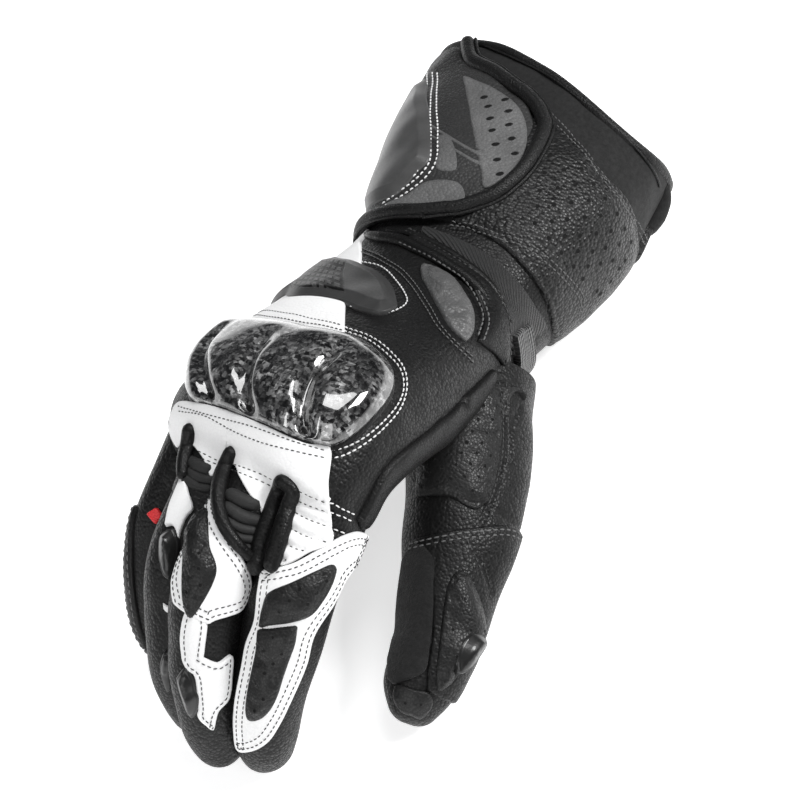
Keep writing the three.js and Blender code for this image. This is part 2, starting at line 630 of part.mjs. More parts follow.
// Narrow white panel past the knuckles. Columns: angle, from station, to station
const WHITE_KNUCKLE_PANEL = [
  [34, 7.68, 7.96], [60, 7.7, 7.96], [90, 7.7, 7.96], [118, 7.68, 7.96], [140, 7.5, 7.94],
];
const whiteKnuckle = clearOfLoops(aroundBody(WHITE_KNUCKLE_PANEL, sheet(BODY_PANEL_TOP)));
addPiece('white_knuckle_panel', 'white_leather', whiteKnuckle);

// Gathered leather at the start of the fingers. Columns: station, from angle, to angle
const GATHERS = {
  index: {
    finish: 'white_leather',
    ribs: 5,
    rows: [[0.98, 32, 112], [1.08, 32, 112], [1.2, 44, 112], [1.42, 76, 112], [1.62, 102, 112]],
  },
  middle: {
    finish: 'stretch_fabric',
    ribs: 4,
    rows: [[0.9, 50, 122], [1.2, 38, 112], [1.38, 28, 90], [1.52, 18, 54], [1.6, 12, 30]],
  },
  ring: {
    finish: 'stretch_fabric',
    ribs: 4,
    rows: [[0.95, 56, 108], [1.15, 54, 98], [1.35, 52, 80], [1.5, 50, 62]],
  },
};
for (const [finger, { finish, ribs, rows }] of Object.entries(GATHERS)) {
  const start = rows[0][0];
  const length = rows[rows.length - 1][0] - start;
  const height = ({ at }) => {
    const wave = Math.abs(Math.sin((Math.PI * ribs * (at - start)) / length));
    return GATHER_VALLEY + (GATHER_RIDGE - GATHER_VALLEY) * wave;
  };
  const gathered = onFinger(finger, rows, height, { step: length / ribs / 2 });
  addPiece(`${finger}_gathers`, finish, clearOfLoops(gathered));
}

// Index finger. Columns: station, from angle, to angle, and the upper pad's run around the finger
const INDEX_OVERLAY = [
  [1.1, -20, 20], [1.3, -12, 46], [1.5, -5, 74], [1.8, -1, 117], [2, 1, 121], [2.33, 14, 119],
  [3.3, 17, 117], [4.2, 35, 117], [4.58, 55, 117], [4.8, 73, 116], [5.02, 98, 113],
];
const INDEX_LOWER_PAD = [
  [2.35, 50, 62], [2.5, 47, 98], [3.12, 47, 100], [3.85, 58, 98], [4.23, 70, 96], [4.32, 80, 90],
];
const INDEX_UPPER_PAD = [
  [12, 1.57, 1.72], [22, 1.45, 1.98], [48, 1.65, 2.2], [75, 1.86, 2.35], [98, 2.04, 2.42],
];
const padHeight = cushion(ON_PANEL + 1, ON_PANEL + 2);
const padLow = ON_PANEL + 2 * GAP;
const indexOverlay = onFinger('index', INDEX_OVERLAY, sheet(PANEL_TOP + GAP), { low: 2 * SEAT, step: 0.5 });
const indexUpperPad = onFinger('index', INDEX_UPPER_PAD, padHeight, { low: ON_PANEL, around: true });
addPiece('index_overlay', 'white_leather', indexOverlay.subtract(fingerClear.index));
addPiece('index_upper_pad', 'black_leather', indexUpperPad);
addPiece('index_lower_pad', 'black_leather', onFinger('index', INDEX_LOWER_PAD, padHeight, { low: padLow }));

// Middle finger. Columns: station, from angle, to angle
const MIDDLE_OVERLAY = [
  [1.1, 128, 143], [1.28, 116, 145], [1.45, 86, 146], [1.58, 54, 146], [1.68, 30, 146],
  [1.85, 12, 140], [2.1, 10, 125], [2.3, 19, 110], [2.42, 50, 90],
];
const MIDDLE_PAD = [
  [1.35, 130, 141], [1.55, 105, 142], [1.8, 70, 138], [1.92, 65, 130], [2.15, 68, 108], [2.4, 80, 88],
];
const MIDDLE_LOWER_OVERLAY = [
  [2.52, 56, 92], [3.0, 60, 92], [3.12, 40, 92], [3.25, 14, 84], [3.6, 14, 69], [3.85, 18, 69],
  [4.08, 38, 69], [4.4, 50, 62],
];
const MIDDLE_SLIDER = [[3.3, 89, 96], [3.6, 74, 106], [4, 78, 103], [4.3, 84, 93]];
addPiece('middle_overlay', 'white_leather', onFinger('middle', MIDDLE_OVERLAY, sheet(PANEL_TOP)));
addPiece('middle_pad', 'black_leather', onFinger('middle', MIDDLE_PAD, padHeight, { low: padLow }));
addPiece('middle_lower_overlay', 'white_leather', onFinger('middle', MIDDLE_LOWER_OVERLAY, sheet(PANEL_TOP)));
addPiece('middle_slider', 'dark_plastic', onFinger('middle', MIDDLE_SLIDER, cushion(1.6, 4)));

// Ring and little finger. Columns: station, from angle, to angle
const RING_OVERLAY = [[1.25, 100, 112], [1.4, 84, 111], [1.55, 71, 106], [1.75, 67, 102]];
const RING_KNUCKLE_SLIDER = [[1.86, 80, 112], [2, 70, 116], [2.15, 66, 108], [2.27, 65, 98], [2.42, 74, 86]];
const RING_TIP_SLIDER = [[3.75, 66, 76], [3.95, 54, 92], [4.3, 60, 92], [4.65, 72, 82]];
const LITTLE_RIDGE = [[2.3, 118, 140], [3.3, 106, 146], [4.5, 93, 138], [5.2, 92, 120]];
const RED_TAG = [[2.04, 66, 70], [2.18, 55, 81], [2.32, 66, 70]];
addPiece('ring_overlay', 'white_leather', onFinger('ring', RING_OVERLAY, sheet(PANEL_TOP)));
addPiece('ring_knuckle_slider', 'dark_plastic', onFinger('ring', RING_KNUCKLE_SLIDER, cushion(2, 5)));
addPiece('ring_tip_slider', 'dark_plastic', onFinger('ring', RING_TIP_SLIDER, cushion(1.6, 4)));
addPiece('little_ridge', 'black_leather', onFinger('little', LITTLE_RIDGE, cushion(1.2, 2.8)));
addPiece('red_tag', 'red_tag', onFinger('little', RED_TAG, sheet(1.2)));

// Thumb. Columns: station, from angle, to angle
const THUMB_GUSSET = [[0.4, -14, 60], [1.05, 8, 80], [1.7, 8, 88], [1.95, 12, 88]];
const THUMB_CAP = [
  [2.06, -50, -12], [2.2, -50, 16], [2.34, -50, 35], [2.48, -50, 52], [3, -50, 48], [4.5, -50, 40],
  [5, -40, 30],
];
const THUMB_PAD = [[2.56, -10, 28], [2.8, -50, 35], [3.2, -50, 33], [4.2, -44, 25], [4.9, -20, 12]];
const THUMB_SUEDE = [[2.44, 58, 100], [2.95, 53, 112], [4.5, 45, 112], [4.95, 60, 100]];
const THUMB_TIP_PATCH = [[5.06, 20, 84], [5.35, 8, 88], [5.75, 16, 70]];
const THUMB_SLIDER = [[3, -50, -30], [3.35, -52, -10], [3.78, -50, 3], [4.1, -46, -6], [4.3, -30, -14]];
const sliderHeight = cushion(THUMB_SLIDER_TOP - 2, THUMB_SLIDER_TOP);
addPiece('thumb_gusset', 'black_leather', onThumb(THUMB_GUSSET, sheet(PANEL_TOP)));
addPiece('thumb_cap', 'black_leather', onThumb(THUMB_CAP, sheet(PANEL_TOP)));
addPiece('thumb_pad', 'black_leather', onThumb(THUMB_PAD, padHeight, { low: ON_PANEL + SEAT }));
addPiece('thumb_suede', 'suede', onThumb(THUMB_SUEDE, sheet(PANEL_TOP)));
addPiece('thumb_tip_patch', 'black_leather', onThumb(THUMB_TIP_PATCH, sheet(PANEL_TOP)));
addPiece('thumb_slider', 'dark_plastic', onThumb(THUMB_SLIDER, sliderHeight, { low: ON_PANEL + 2.6 }));

export default group;
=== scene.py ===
import math
import bpy
import numpy as np
from mathutils import Matrix, Vector
from mathutils.bvhtree import BVHTree
from mathutils.geometry import delaunay_2d_cdt


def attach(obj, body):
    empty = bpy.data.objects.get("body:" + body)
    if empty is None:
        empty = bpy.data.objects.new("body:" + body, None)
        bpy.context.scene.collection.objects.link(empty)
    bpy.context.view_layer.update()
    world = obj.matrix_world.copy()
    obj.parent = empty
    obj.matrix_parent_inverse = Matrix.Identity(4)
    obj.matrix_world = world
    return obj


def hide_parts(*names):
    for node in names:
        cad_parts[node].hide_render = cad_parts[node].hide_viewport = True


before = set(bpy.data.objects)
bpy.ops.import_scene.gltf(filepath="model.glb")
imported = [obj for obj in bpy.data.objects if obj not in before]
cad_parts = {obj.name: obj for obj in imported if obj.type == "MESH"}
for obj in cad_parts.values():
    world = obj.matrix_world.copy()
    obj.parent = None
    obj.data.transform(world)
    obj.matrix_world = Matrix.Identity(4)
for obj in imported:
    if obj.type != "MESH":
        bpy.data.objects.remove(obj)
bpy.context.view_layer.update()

# A motorcycle glove for the right hand, lying palm down. Everything is worked out in millimetres in
# the frame's axes and written to Blender in metres. A place on a tube of the glove is a station and
# an angle, and a place on the web is an x and a y.
MM = 0.001

# Tube stations: centre x, y, z, half width, height above, depth below, lean, squareness, yaw
TUBES = {
    "body": [
        (-5.5, 104, 31, 51.5, 29.5, 31.5, 2, 2.4, 16),
        (-3.5, 80, 31, 49.5, 30, 31.5, 2, 2.5, 13),
        (-1, 50, 31, 46, 31, 31.5, 3, 2.6, 6),
        (-1, 22, 31, 39, 28, 29, 5, 2.5, 0),
        (-4.5, 0, 33, 39.5, 27, 25, 7, 2.4, 0),
        (-5.5, -25, 41, 42.5, 26, 22, 9, 2.4, 0),
        (-6, -50, 52, 44.5, 25.5, 21, 11, 2.4, 3),
        (-6, -80, 64, 43, 24, 21, 14, 2.5, 8),
        (-6, -97, 62, 40.5, 19.5, 18, 15, 2.6, 11),
    ],
    "index": [
        (24.8, -82.5, 70.4, 11.5, 14, 12, 0, 2.1, 0),
        (22.5, -104, 64, 12, 14, 11.5, 0, 2.1, 0),
        (21.5, -127, 53.2, 13.2, 13.5, 11.5, 0, 2.1, 0),
        (20.5, -139, 42, 12.6, 11.5, 10.5, 0, 2.1, 0),
        (19.5, -147.5, 31.1, 11.8, 12, 10.5, 0, 2.1, 0),
        (18, -155, 15.5, 9.8, 10.5, 9.5, 0, 2.1, 0),
        (17.5, -157.5, -1, 5, 6, 6, 0, 2, 0),
    ],
    "middle": [
        (2.5, -83.5, 71.5, 11, 14, 12, 0, 2.1, 0),
        (1, -108, 66.5, 11, 13.5, 11.5, 0, 2.1, 0),
        (-0.5, -134.4, 58, 11.5, 13.5, 11.5, 0, 2.1, 0),
        (0.5, -147, 46, 11.2, 11.5, 10.5, 0, 2.1, 0),
        (2, -154.6, 33.1, 10.8, 12, 10.5, 0, 2.1, 0),
        (4, -160.2, 15, 9.2, 10, 9.5, 0, 2.1, 0),
        (4.3, -161.5, -1, 5, 6, 6, 0, 2, 0),
    ],
    "ring": [
        (-18.7, -78.8, 66, 10.5, 14, 12, 8, 2.1, 0),
        (-19, -101, 60, 10.8, 13.5, 11.5, 6, 2.1, 0),
        (-18.5, -125, 52.3, 11, 13, 11.5, 4, 2.1, 0),
        (-16.5, -137, 42, 10.6, 11.5, 10.5, 3, 2.1, 0),
        (-14.8, -145.5, 30, 10.2, 11.5, 10.5, 2, 2.1, 0),
        (-13, -151.5, 14, 8.6, 9.5, 9, 0, 2.1, 0),
        (-12.5, -153, -1, 5, 6, 6, 0, 2, 0),
    ],
    "little": [
        (-37.2, -70.2, 55, 10, 13, 11, 14, 2.1, 0),
        (-38, -88, 50, 10.2, 12.5, 10.5, 12, 2.1, 0),
        (-38.8, -107, 42.2, 10.5, 12, 10.5, 10, 2.1, 0),
        (-38.5, -117.5, 34.5, 10.4, 10.5, 9.5, 8, 2.1, 0),
        (-37.8, -125, 26, 10, 10.5, 9.5, 6, 2.1, 0),
        (-36.3, -132.5, 11.7, 8.2, 8.5, 8, 4, 2.1, 0),
        (-36, -134, -1, 5, 5, 5, 0, 2, 0),
    ],
    "thumb": [
        (24.2, -19.1, 27.7, 21, 19, 18, 40, 2.2, 0),
        (36, -45, 24, 19.5, 23, 16.5, 40, 2.2, 0),
        (43, -67, 21.1, 17, 20, 15, 40, 2.2, 0),
        (50.6, -101.7, 15.2, 13.4, 13, 13, 35, 2.1, 0),
        (52.5, -112, 13.5, 12.5, 12.5, 12.5, 30, 2.1, 0),
        (53.5, -122.2, 11, 10.5, 11, 11, 25, 2.1, 0),
        (54, -131, 7, 5, 6, 6, 20, 2, 0),
    ],
}
TUBES = {name: np.array(rows, float) for name, rows in TUBES.items()}
OUTLINE_MIDDLE = np.array([6.48, -25.35, 0.0])

# The cuff's opening is cut back over the thumb side of the arm and hangs further out below it.
# Columns: length in mm, middle angle, half the spread in degrees. It fades out by RIM_FADE.
RIM_CUTS = [(11.5, 42, 70), (-5, -45, 28)]
RIM_FADE = 1.2

# Camera, measured from the photograph: eye, axes and the lens
EYE = np.array([264.22, -324.65, 510.9])
RIGHT = np.array([0.8671, 0.4663, -0.1754])
UPWARD = np.array([-0.2656, 0.7305, 0.6291])
FORWARD = np.array([-0.4215, 0.4989, -0.7573])
LENS = 85.0
SENSOR = 36.0
PHOTO = 800
FOCAL = LENS / SENSOR * PHOTO


def unit(v):
    return v / np.maximum(np.linalg.norm(v, axis=-1, keepdims=True), 1e-12)


def rim_cut(u, deg):
    turned = (deg + 180) % 360 - 180
    cut = np.zeros(np.shape(deg))
    for length, middle, spread in RIM_CUTS:
        off = np.clip(np.abs(turned - middle) / spread, 0, 1)
        cut += length * (1 - off**2) ** 2
    return cut * np.maximum(0, 1 - u / RIM_FADE)


def tube_point(tube, u, deg, lift):
    rows = TUBES[tube]
    last = len(rows) - 1
    u, deg, lift = np.broadcast_arrays(np.asarray(u, float), np.asarray(deg, float), np.asarray(lift, float))
    k = np.clip(np.floor(u).astype(int), 0, last - 1)
    t = (u - k)[..., None]
    b, c = rows[k], rows[k + 1]
    a = np.where((k > 0)[..., None], rows[np.maximum(k - 1, 0)], 2 * b - c)
    d = np.where((k + 2 <= last)[..., None], rows[np.minimum(k + 2, last)], 2 * c - b)
    square = 2 * a - 5 * b + 4 * c - d
    cube = 3 * b - a - 3 * c + d
    v = 0.5 * (2 * b + (c - a) * t + square * t * t + cube * t**3)
    s = 0.5 * (c - a + 2 * square * t + 3 * cube * t * t)
    along = unit(s[..., :3])
    side = unit(np.array([1.0, 0, 0]) - along * along[..., :1])
    rise = np.cross(along, side)
    lean = np.radians(v[..., 6:7])
    across = side * np.cos(lean) + rise * np.sin(lean) + along * np.tan(np.radians(v[..., 8:9]))
    up = rise * np.cos(lean) - side * np.sin(lean)
    cos, sin = np.cos(np.radians(deg)), np.sin(np.radians(deg))
    power = 2 / v[..., 7]
    high = np.where(sin >= 0, v[..., 4], v[..., 5]) + lift
    x = (v[..., 3] + lift) * np.sign(cos) * np.abs(cos) ** power
    y = high * np.sign(sin) * np.abs(sin) ** power
    p = v[..., :3] + across * x[..., None] + up * y[..., None] - OUTLINE_MIDDLE
    if tube == "body":
        p[..., 1] -= rim_cut(u, deg)
    return p


# The web: one smooth skin over the knuckle end of the hand and the roots of the four fingers
WEB_CELL = 0.5
WEB_X = np.arange(-62, 52.01, WEB_CELL)
WEB_Y = np.arange(-112, -28, WEB_CELL)
WEB_SMOOTHING = 22
WEB_SINK = 0.4
WEB_TUBES = (("body", 6, 8), ("index", 0, 3), ("middle", 0, 3), ("ring", 0, 3), ("little", 0, 3))


def web_heights():
    z = np.full((len(WEB_X), len(WEB_Y)), -1.0)
    for tube, start, end in WEB_TUBES:
        p = tube_point(tube, np.linspace(start, end, 500)[:, None], np.linspace(-10, 190, 700)[None], 0)
        p = p.reshape(-1, 3)
        i = np.rint((p[:, 0] - WEB_X[0]) / WEB_CELL).astype(int)
        j = np.rint((p[:, 1] - WEB_Y[0]) / WEB_CELL).astype(int)
        ok = (i >= 0) & (i < len(WEB_X)) & (j >= 0) & (j < len(WEB_Y))
        np.maximum.at(z, (i[ok], j[ok]), p[ok, 2])
    ground = z
    for _ in range(WEB_SMOOTHING):
        z = np.pad(z, 1, mode="edge")
        z = (z[:-2, 1:-1] + 2 * z[1:-1, 1:-1] + z[2:, 1:-1]) / 4
        z = np.pad(z, 1, mode="edge")[1:-1]
        z = np.maximum((z[:, :-2] + 2 * z[:, 1:-1] + z[:, 2:]) / 4, ground - WEB_SINK)
    return z


WEB_Z = web_heights()


def web_point(x, y, lift):
    x, y, lift = np.broadcast_arrays(np.asarray(x, float), np.asarray(y, float), np.asarray(lift, float))
    i = np.clip((x - WEB_X[0]) / WEB_CELL, 0, len(WEB_X) - 1.001)
    j = np.clip((y - WEB_Y[0]) / WEB_CELL, 0, len(WEB_Y) - 1.001)
    a, b = i.astype(int), j.astype(int)
    s, t = i - a, j - b
    z00, z10, z01, z11 = WEB_Z[a, b], WEB_Z[a + 1, b], WEB_Z[a, b + 1], WEB_Z[a + 1, b + 1]
    z = (z00 * (1 - s) + z10 * s) * (1 - t) + (z01 * (1 - s) + z11 * s) * t
    slope_x = ((z10 - z00) * (1 - t) + (z11 - z01) * t) / WEB_CELL
    slope_y = ((z01 - z00) * (1 - s) + (z11 - z10) * s) / WEB_CELL
    normal = unit(np.stack([-slope_x, -slope_y, np.ones_like(z)], -1))
    return np.stack([x, y, z], -1) + normal * lift[..., None]


def bare(surface, a, b, lift=0.0):
    return web_point(a, b, lift) if surface == "web" else tube_point(surface, a, b, lift)


# Soft relief that every layer shares: long low waves, and creases laid down below by name
CREASES = []
WAVES = [
    (np.array([0.11, 0.16, 0.07]), 0.4, 0.22), (np.array([-0.21, 0.13, 0.18]), 1.9, 0.16),
    (np.array([0.31, -0.24, 0.12]), 3.1, 0.10), (np.array([0.17, 0.37, -0.29]), 5.2, 0.08),
]
ABOVE_FLOOR = 0.05
ROLL_ABOVE_FLOOR = 0.02


def path_distance(points, line):
    """Distance from each point to a line through 3-D points, and how far along the line it is"""
    best = np.full(len(points), 1e9)
    where = np.zeros(len(points))
    total = 0.0
    for p, q in zip(line[:-1], line[1:]):
        d = q - p
        size = float(d @ d)
        if size < 1e-12:
            continue
        t = np.clip((points - p) @ d / size, 0, 1)
        gap = np.linalg.norm(points - p - t[:, None] * d, axis=1)
        near = gap < best
        best[near] = gap[near]
        where[near] = total + t[near] * math.sqrt(size)
        total += math.sqrt(size)
    return best, where / max(total, 1e-9)


def relief(points):
    flat = points.reshape(-1, 3)
    out = np.zeros(len(flat))
    for wave, phase, size in WAVES:
        out += size * np.sin(flat @ wave + phase)
    for line, width, height, taper in CREASES:
        low, high = line.min(0) - 3 * width, line.max(0) + 3 * width
        near = ((flat > low) & (flat < high)).all(1)
        if near.any():
            gap, where = path_distance(flat[near], line)
            fade = np.clip(np.minimum(where, 1 - where) / taper, 0, 1)
            out[near] += height * np.exp(-((gap / width) ** 2)) * fade
    return out.reshape(points.shape[:-1])


def at(surface, a, b, lift=0.0):
    """Point on a surface with the shared relief, never below the floor"""
    ground = bare(surface, a, b)
    p = bare(surface, a, b, relief(ground) + lift)
    p[..., 2] = np.maximum(p[..., 2], ABOVE_FLOOR)
    return p


def smooth(points, step, closed=False):
    """Even points on a smooth curve through points. A doubled point is a corner."""
    points = [np.asarray(p, float) for p in points]
    runs = [[points[0]]]
    for p, q in zip(points[:-1], points[1:]):
        if np.allclose(p, q):
            runs.append([q])
        else:
            runs[-1].append(q)
    corners = len(runs) > 1
    if closed:
        if corners:
            runs[-1] = runs[-1] + runs.pop(0) if not np.allclose(points[0], points[-1]) else runs[-1]
        else:
            runs = [points + [points[0]]]
    out = []
    for run in runs:
        if len(run) < 2:
            continue
        p = np.array(run)
        loop = closed and not corners
        before = p[-2] if loop else 2 * p[0] - p[1]
        after = p[1] if loop else 2 * p[-1] - p[-2]
        q = np.vstack([before, p, after])
        for k in range(1, len(q) - 2):
            k0, k1, k2 = (max(np.linalg.norm(q[k + i] - q[k + i - 1]), 1e-6) ** 0.5 for i in (0, 1, 2))
            count = max(2, int(np.linalg.norm(q[k + 1] - q[k]) / step) + 1)
            x = np.linspace(0, 1, count, endpoint=False)[:, None]
            m1 = (q[k] - q[k - 1]) / k0 - (q[k + 1] - q[k - 1]) / (k0 + k1) + (q[k + 1] - q[k]) / k1
            m2 = (q[k + 1] - q[k]) / k1 - (q[k + 2] - q[k]) / (k1 + k2) + (q[k + 2] - q[k + 1]) / k2
            start = (2 * x**3 - 3 * x**2 + 1) * q[k] + (x**3 - 2 * x**2 + x) * k1 * m1
            out.append(start + (-2 * x**3 + 3 * x**2) * q[k + 1] + (x**3 - x**2) * k1 * m2)
        if not closed:
            out.append(p[-1:])
    return np.vstack(out)


def project(p):
    d = p - EYE
    z = d @ FORWARD
    return np.stack([PHOTO / 2 + FOCAL * (d @ RIGHT) / z, PHOTO / 2 - FOCAL * (d @ UPWARD) / z], -1)


# A line read off the photograph: how near to it in pixels a sample is, how deep one layer of the glove is
# in mm, and how many pixels off an open line a place may end
NEAR = 3.0
ONE_LAYER = 4.0
ON_LINE = 1.0
GRIDS = {}


def samples(surface, lift):
    if (surface, lift) not in GRIDS:
        if surface == "web":
            spans = np.arange(-58, 48, 0.6), np.arange(-110, -32, 0.6)
        else:
            last = len(TUBES[surface]) - 1
            spans = np.linspace(0, last, 40 * last), np.arange(-120, 240, 1.5)
        a, b = np.meshgrid(*spans, indexing="ij")
        p = bare(surface, a, b, lift)
        GRIDS[surface, lift] = a, b, project(p), np.linalg.norm(p - EYE, axis=-1)
    return GRIDS[surface, lift]


def seen(surface, pixels, lift=1.5, closed=False, step=2.0, curve=True):
    """Places on a surface under a smooth line through pixels of the photograph"""
    px = smooth(pixels, step, closed) if curve else np.array(pixels, float)
    a, b, q, far = samples(surface, lift)
    places = []
    for p in px:
        gap = ((q - p) ** 2).sum(-1)
        near = gap < NEAR**2
        k = np.where(near, far, 1e9).argmin() if near.any() else gap.argmin()
        window = np.abs(far - far.flat[k]) < ONE_LAYER
        k = np.where(window, gap, 1e9).argmin()
        places.append((a.flat[k], b.flat[k]))
    places = np.array(places)
    eps, limit = ([0.1, 0.1], [1.0, 1.0]) if surface == "web" else ([0.01, 0.3], [0.05, 3.0])

    def shown(shift_a=0.0, shift_b=0.0):
        return project(bare(surface, places[:, 0] + shift_a, places[:, 1] + shift_b, lift))

    for _ in range(4):
        p0 = shown()
        pa = (shown(eps[0], 0.0) - p0) / eps[0]
        pb = (shown(0.0, eps[1]) - p0) / eps[1]
        miss = px - p0
        det = pa[:, 0] * pb[:, 1] - pa[:, 1] * pb[:, 0]
        safe = np.where(np.abs(det) < 1e-3, 1e9, det)
        da = (miss[:, 0] * pb[:, 1] - miss[:, 1] * pb[:, 0]) / safe
        db = (pa[:, 0] * miss[:, 1] - pa[:, 1] * miss[:, 0]) / safe
        places = places + np.clip(np.stack([da, db], -1), np.negative(limit), limit)
    if closed:
        return places
    return places[np.linalg.norm(px - shown(), axis=1) < ON_LINE]


def even(places, surface, spacing, closed=False):
    """The same line of places, resampled to even steps in millimetres"""
    places = np.asarray(places, float)
    if closed:
        places = np.vstack([places, places[:1]])
    p = bare(surface, places[:, 0], places[:, 1])
    run = np.concatenate([[0], np.cumsum(np.linalg.norm(np.diff(p, axis=0), axis=1))])
    keep = np.concatenate([[True], np.diff(run) > 1e-6])
    run, places = run[keep], places[keep]
    count = max(3, int(round(run[-1] / spacing)))
    want = np.linspace(0, run[-1], count + 1)
    out = np.stack([np.interp(want, run, places[:, i]) for i in (0, 1)], -1)
    return out[:-1] if closed else out


def frame_on(surface, a, b, lift=0.0):
    """Point, normal and the two slopes of a surface"""
    ea, eb = (0.1, 0.1) if surface == "web" else (0.01, 0.4)
    p = at(surface, a, b, lift)
    pa = (at(surface, a + ea, b, lift) - p) / ea
    pb = (at(surface, a, b + eb, lift) - p) / eb
    out = at(surface, a, b, lift + 0.5) - p
    n = unit(np.cross(pa, pb))
    n = n * np.where((n * out).sum(-1, keepdims=True) < 0, -1, 1)
    return p, n, pa, pb


def moved(places, out, distance, pa, pb):
    step = out * distance
    aa, ab, bb = (pa * pa).sum(-1), (pa * pb).sum(-1), (pb * pb).sum(-1)
    sa, sb = (pa * step).sum(-1), (pb * step).sum(-1)
    det = np.maximum(aa * bb - ab * ab, 1e-9)
    return places + np.stack([(bb * sa - ab * sb) / det, (aa * sb - ab * sa) / det], -1)


def inset(surface, places, distance):
    """A closed line of places moved inwards"""
    p, n, pa, pb = frame_on(surface, places[:, 0], places[:, 1])
    out = np.cross(n, unit(np.roll(p, -1, 0) - np.roll(p, 1, 0)))
    x, y = places[:, 0], places[:, 1]
    area = (x * np.roll(y, -1) - y * np.roll(x, -1)).sum()
    flip = (np.cross(pa, pb) * n).sum(-1) > 0
    out = out * np.where(flip == (area > 0), 1, -1)[:, None]
    return moved(places, out, distance, pa, pb)


def beside(surface, places, distance):
    """An open line of places moved to its left, or with a negative distance to its right"""
    p, n, pa, pb = frame_on(surface, places[:, 0], places[:, 1])
    return moved(places, np.cross(n, unit(np.gradient(p, axis=0))), distance, pa, pb)


class Layer:
    """A piece laid on a surface: its border, how high its top is at any place, and its mesh"""

    def __init__(self, border, height, piece):
        self.border = border
        self.height = height
        self.piece = piece


def raised(lift, places):
    return lift.height(places) if isinstance(lift, Layer) else lift


def add_mesh(name, vertices, faces, finish, nodes=(), places=None):
    mesh = bpy.data.meshes.new(name)
    mesh.from_pydata((np.asarray(vertices) * MM).tolist(), [], faces)
    mesh.validate()
    mesh.shade_smooth()
    mesh.materials.append(finish)
    if places is not None and len(mesh.vertices) == len(places):
        field = mesh.attributes.new("place", "FLOAT_VECTOR", "POINT")
        field.data.foreach_set("vector", np.asarray(places, np.float32).ravel())
    obj = bpy.data.objects.new(name, mesh)
    bpy.context.scene.collection.objects.link(obj)
    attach(obj, "root")
    if nodes:
        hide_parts(*nodes)
    return obj


# Pads swell in a short cloth simulation, on a copy at this many times their size
SIM_SCALE = 25
SIM_FRAMES = 20
SIM_PRESSURE = 4.0
SIM_GROWTH = 0.05
SEWN_EDGE = 1.1


def vectors(data, field):
    values = np.empty(len(data) * 3)
    data.foreach_get(field, values)
    return values.reshape(-1, 3)


def inflate(piece, cap):
    """Swell a pad between its sewn edges, no point by more than cap mm"""
    mesh = piece.data
    start = vectors(mesh.vertices, "co")
    sewn = np.flatnonzero(vectors(mesh.attributes["place"].data, "vector")[:, 2] < SEWN_EDGE)
    middle = start.mean(0)
    copy = mesh.copy()
    copy.vertices.foreach_set("co", ((start - middle) * SIM_SCALE).ravel())
    big = bpy.data.objects.new("pad_simulation", copy)
    scene = bpy.context.scene
    scene.collection.objects.link(big)
    big.vertex_groups.new(name="sewn").add([int(i) for i in sewn], 1.0, "REPLACE")
    cloth = big.modifiers.new("cloth", "CLOTH")
    cloth.settings.quality = 5
    cloth.settings.vertex_group_mass = "sewn"
    cloth.settings.use_pressure = True
    cloth.settings.uniform_pressure_force = SIM_PRESSURE
    cloth.settings.shrink_min = -SIM_GROWTH
    cloth.settings.effector_weights.gravity = 0.0
    cloth.collision_settings.use_collision = False
    cloth.point_cache.frame_start = 1
    cloth.point_cache.frame_end = SIM_FRAMES
    for frame_number in range(1, SIM_FRAMES + 1):
        scene.frame_set(frame_number)
    done = big.evaluated_get(bpy.context.evaluated_depsgraph_get()).to_mesh()
    shift = vectors(done.vertices, "co") / SIM_SCALE + middle - start
    size = np.linalg.norm(shift, axis=1, keepdims=True)
    limit = cap * MM
    shift = shift * (limit * np.tanh(size / limit) / np.maximum(size, 1e-9))
    mesh.vertices.foreach_set("co", (start + shift).ravel())
    mesh.update()
    bpy.data.objects.remove(big)
    bpy.data.meshes.remove(copy)
    scene.frame_set(1)


GROOVE_WIDTH = 0.55


def section(d, top, edge=1.0, crown=0.0, reach=8.0, grooves=(), depth=0.3):
    """Lift of a sewn or moulded layer at a distance from its border"""
    x = np.clip(d / edge, 0, 1)
    lift = top * np.sqrt(np.maximum(1 - (1 - x) ** 2, 0))
    y = np.clip((d - edge) / reach, 0, 1)
    lift = lift + crown * (1 - (1 - y) ** 2)
    for g in grooves:
        lift = lift - depth * np.exp(-(((d - g) / GROOVE_WIDTH) ** 2))
    return lift


# Where a panel has rows of points, in mm from its border, and how its inner points are laid
RINGS = (0.12, 0.35, 0.7, 1.1, 1.6, 2.1, 2.6, 3.2)
CLEAR_RING = 0.82
THIN_FROM = 1.8
HEX = 0.87


def within(border, points):
    """Which points lie inside a closed flat border"""
    inside = np.zeros(len(points), bool)
    for p, q in zip(border, np.roll(border, -1, 0)):
        crosses = (p[1] > points[:, 1]) != (q[1] > points[:, 1])
        at_x = p[0] + (points[:, 1] - p[1]) * (q[0] - p[0]) / (q[1] - p[1] if q[1] != p[1] else 1e-9)
        inside ^= crosses & (points[:, 0] < at_x)
    return inside


def staggered(xs, ys, pitch):
    x, y = np.meshgrid(xs, ys, indexing="ij")
    x = x + (np.arange(len(ys)) % 2)[None] * pitch / 2
    return np.stack([x.ravel(), y.ravel()], -1)


def chart_scale(surface, centre):
    _, _, pa, pb = frame_on(surface, centre[0:1], centre[1:2])
    return np.array([np.linalg.norm(pa), np.linalg.norm(pb)])


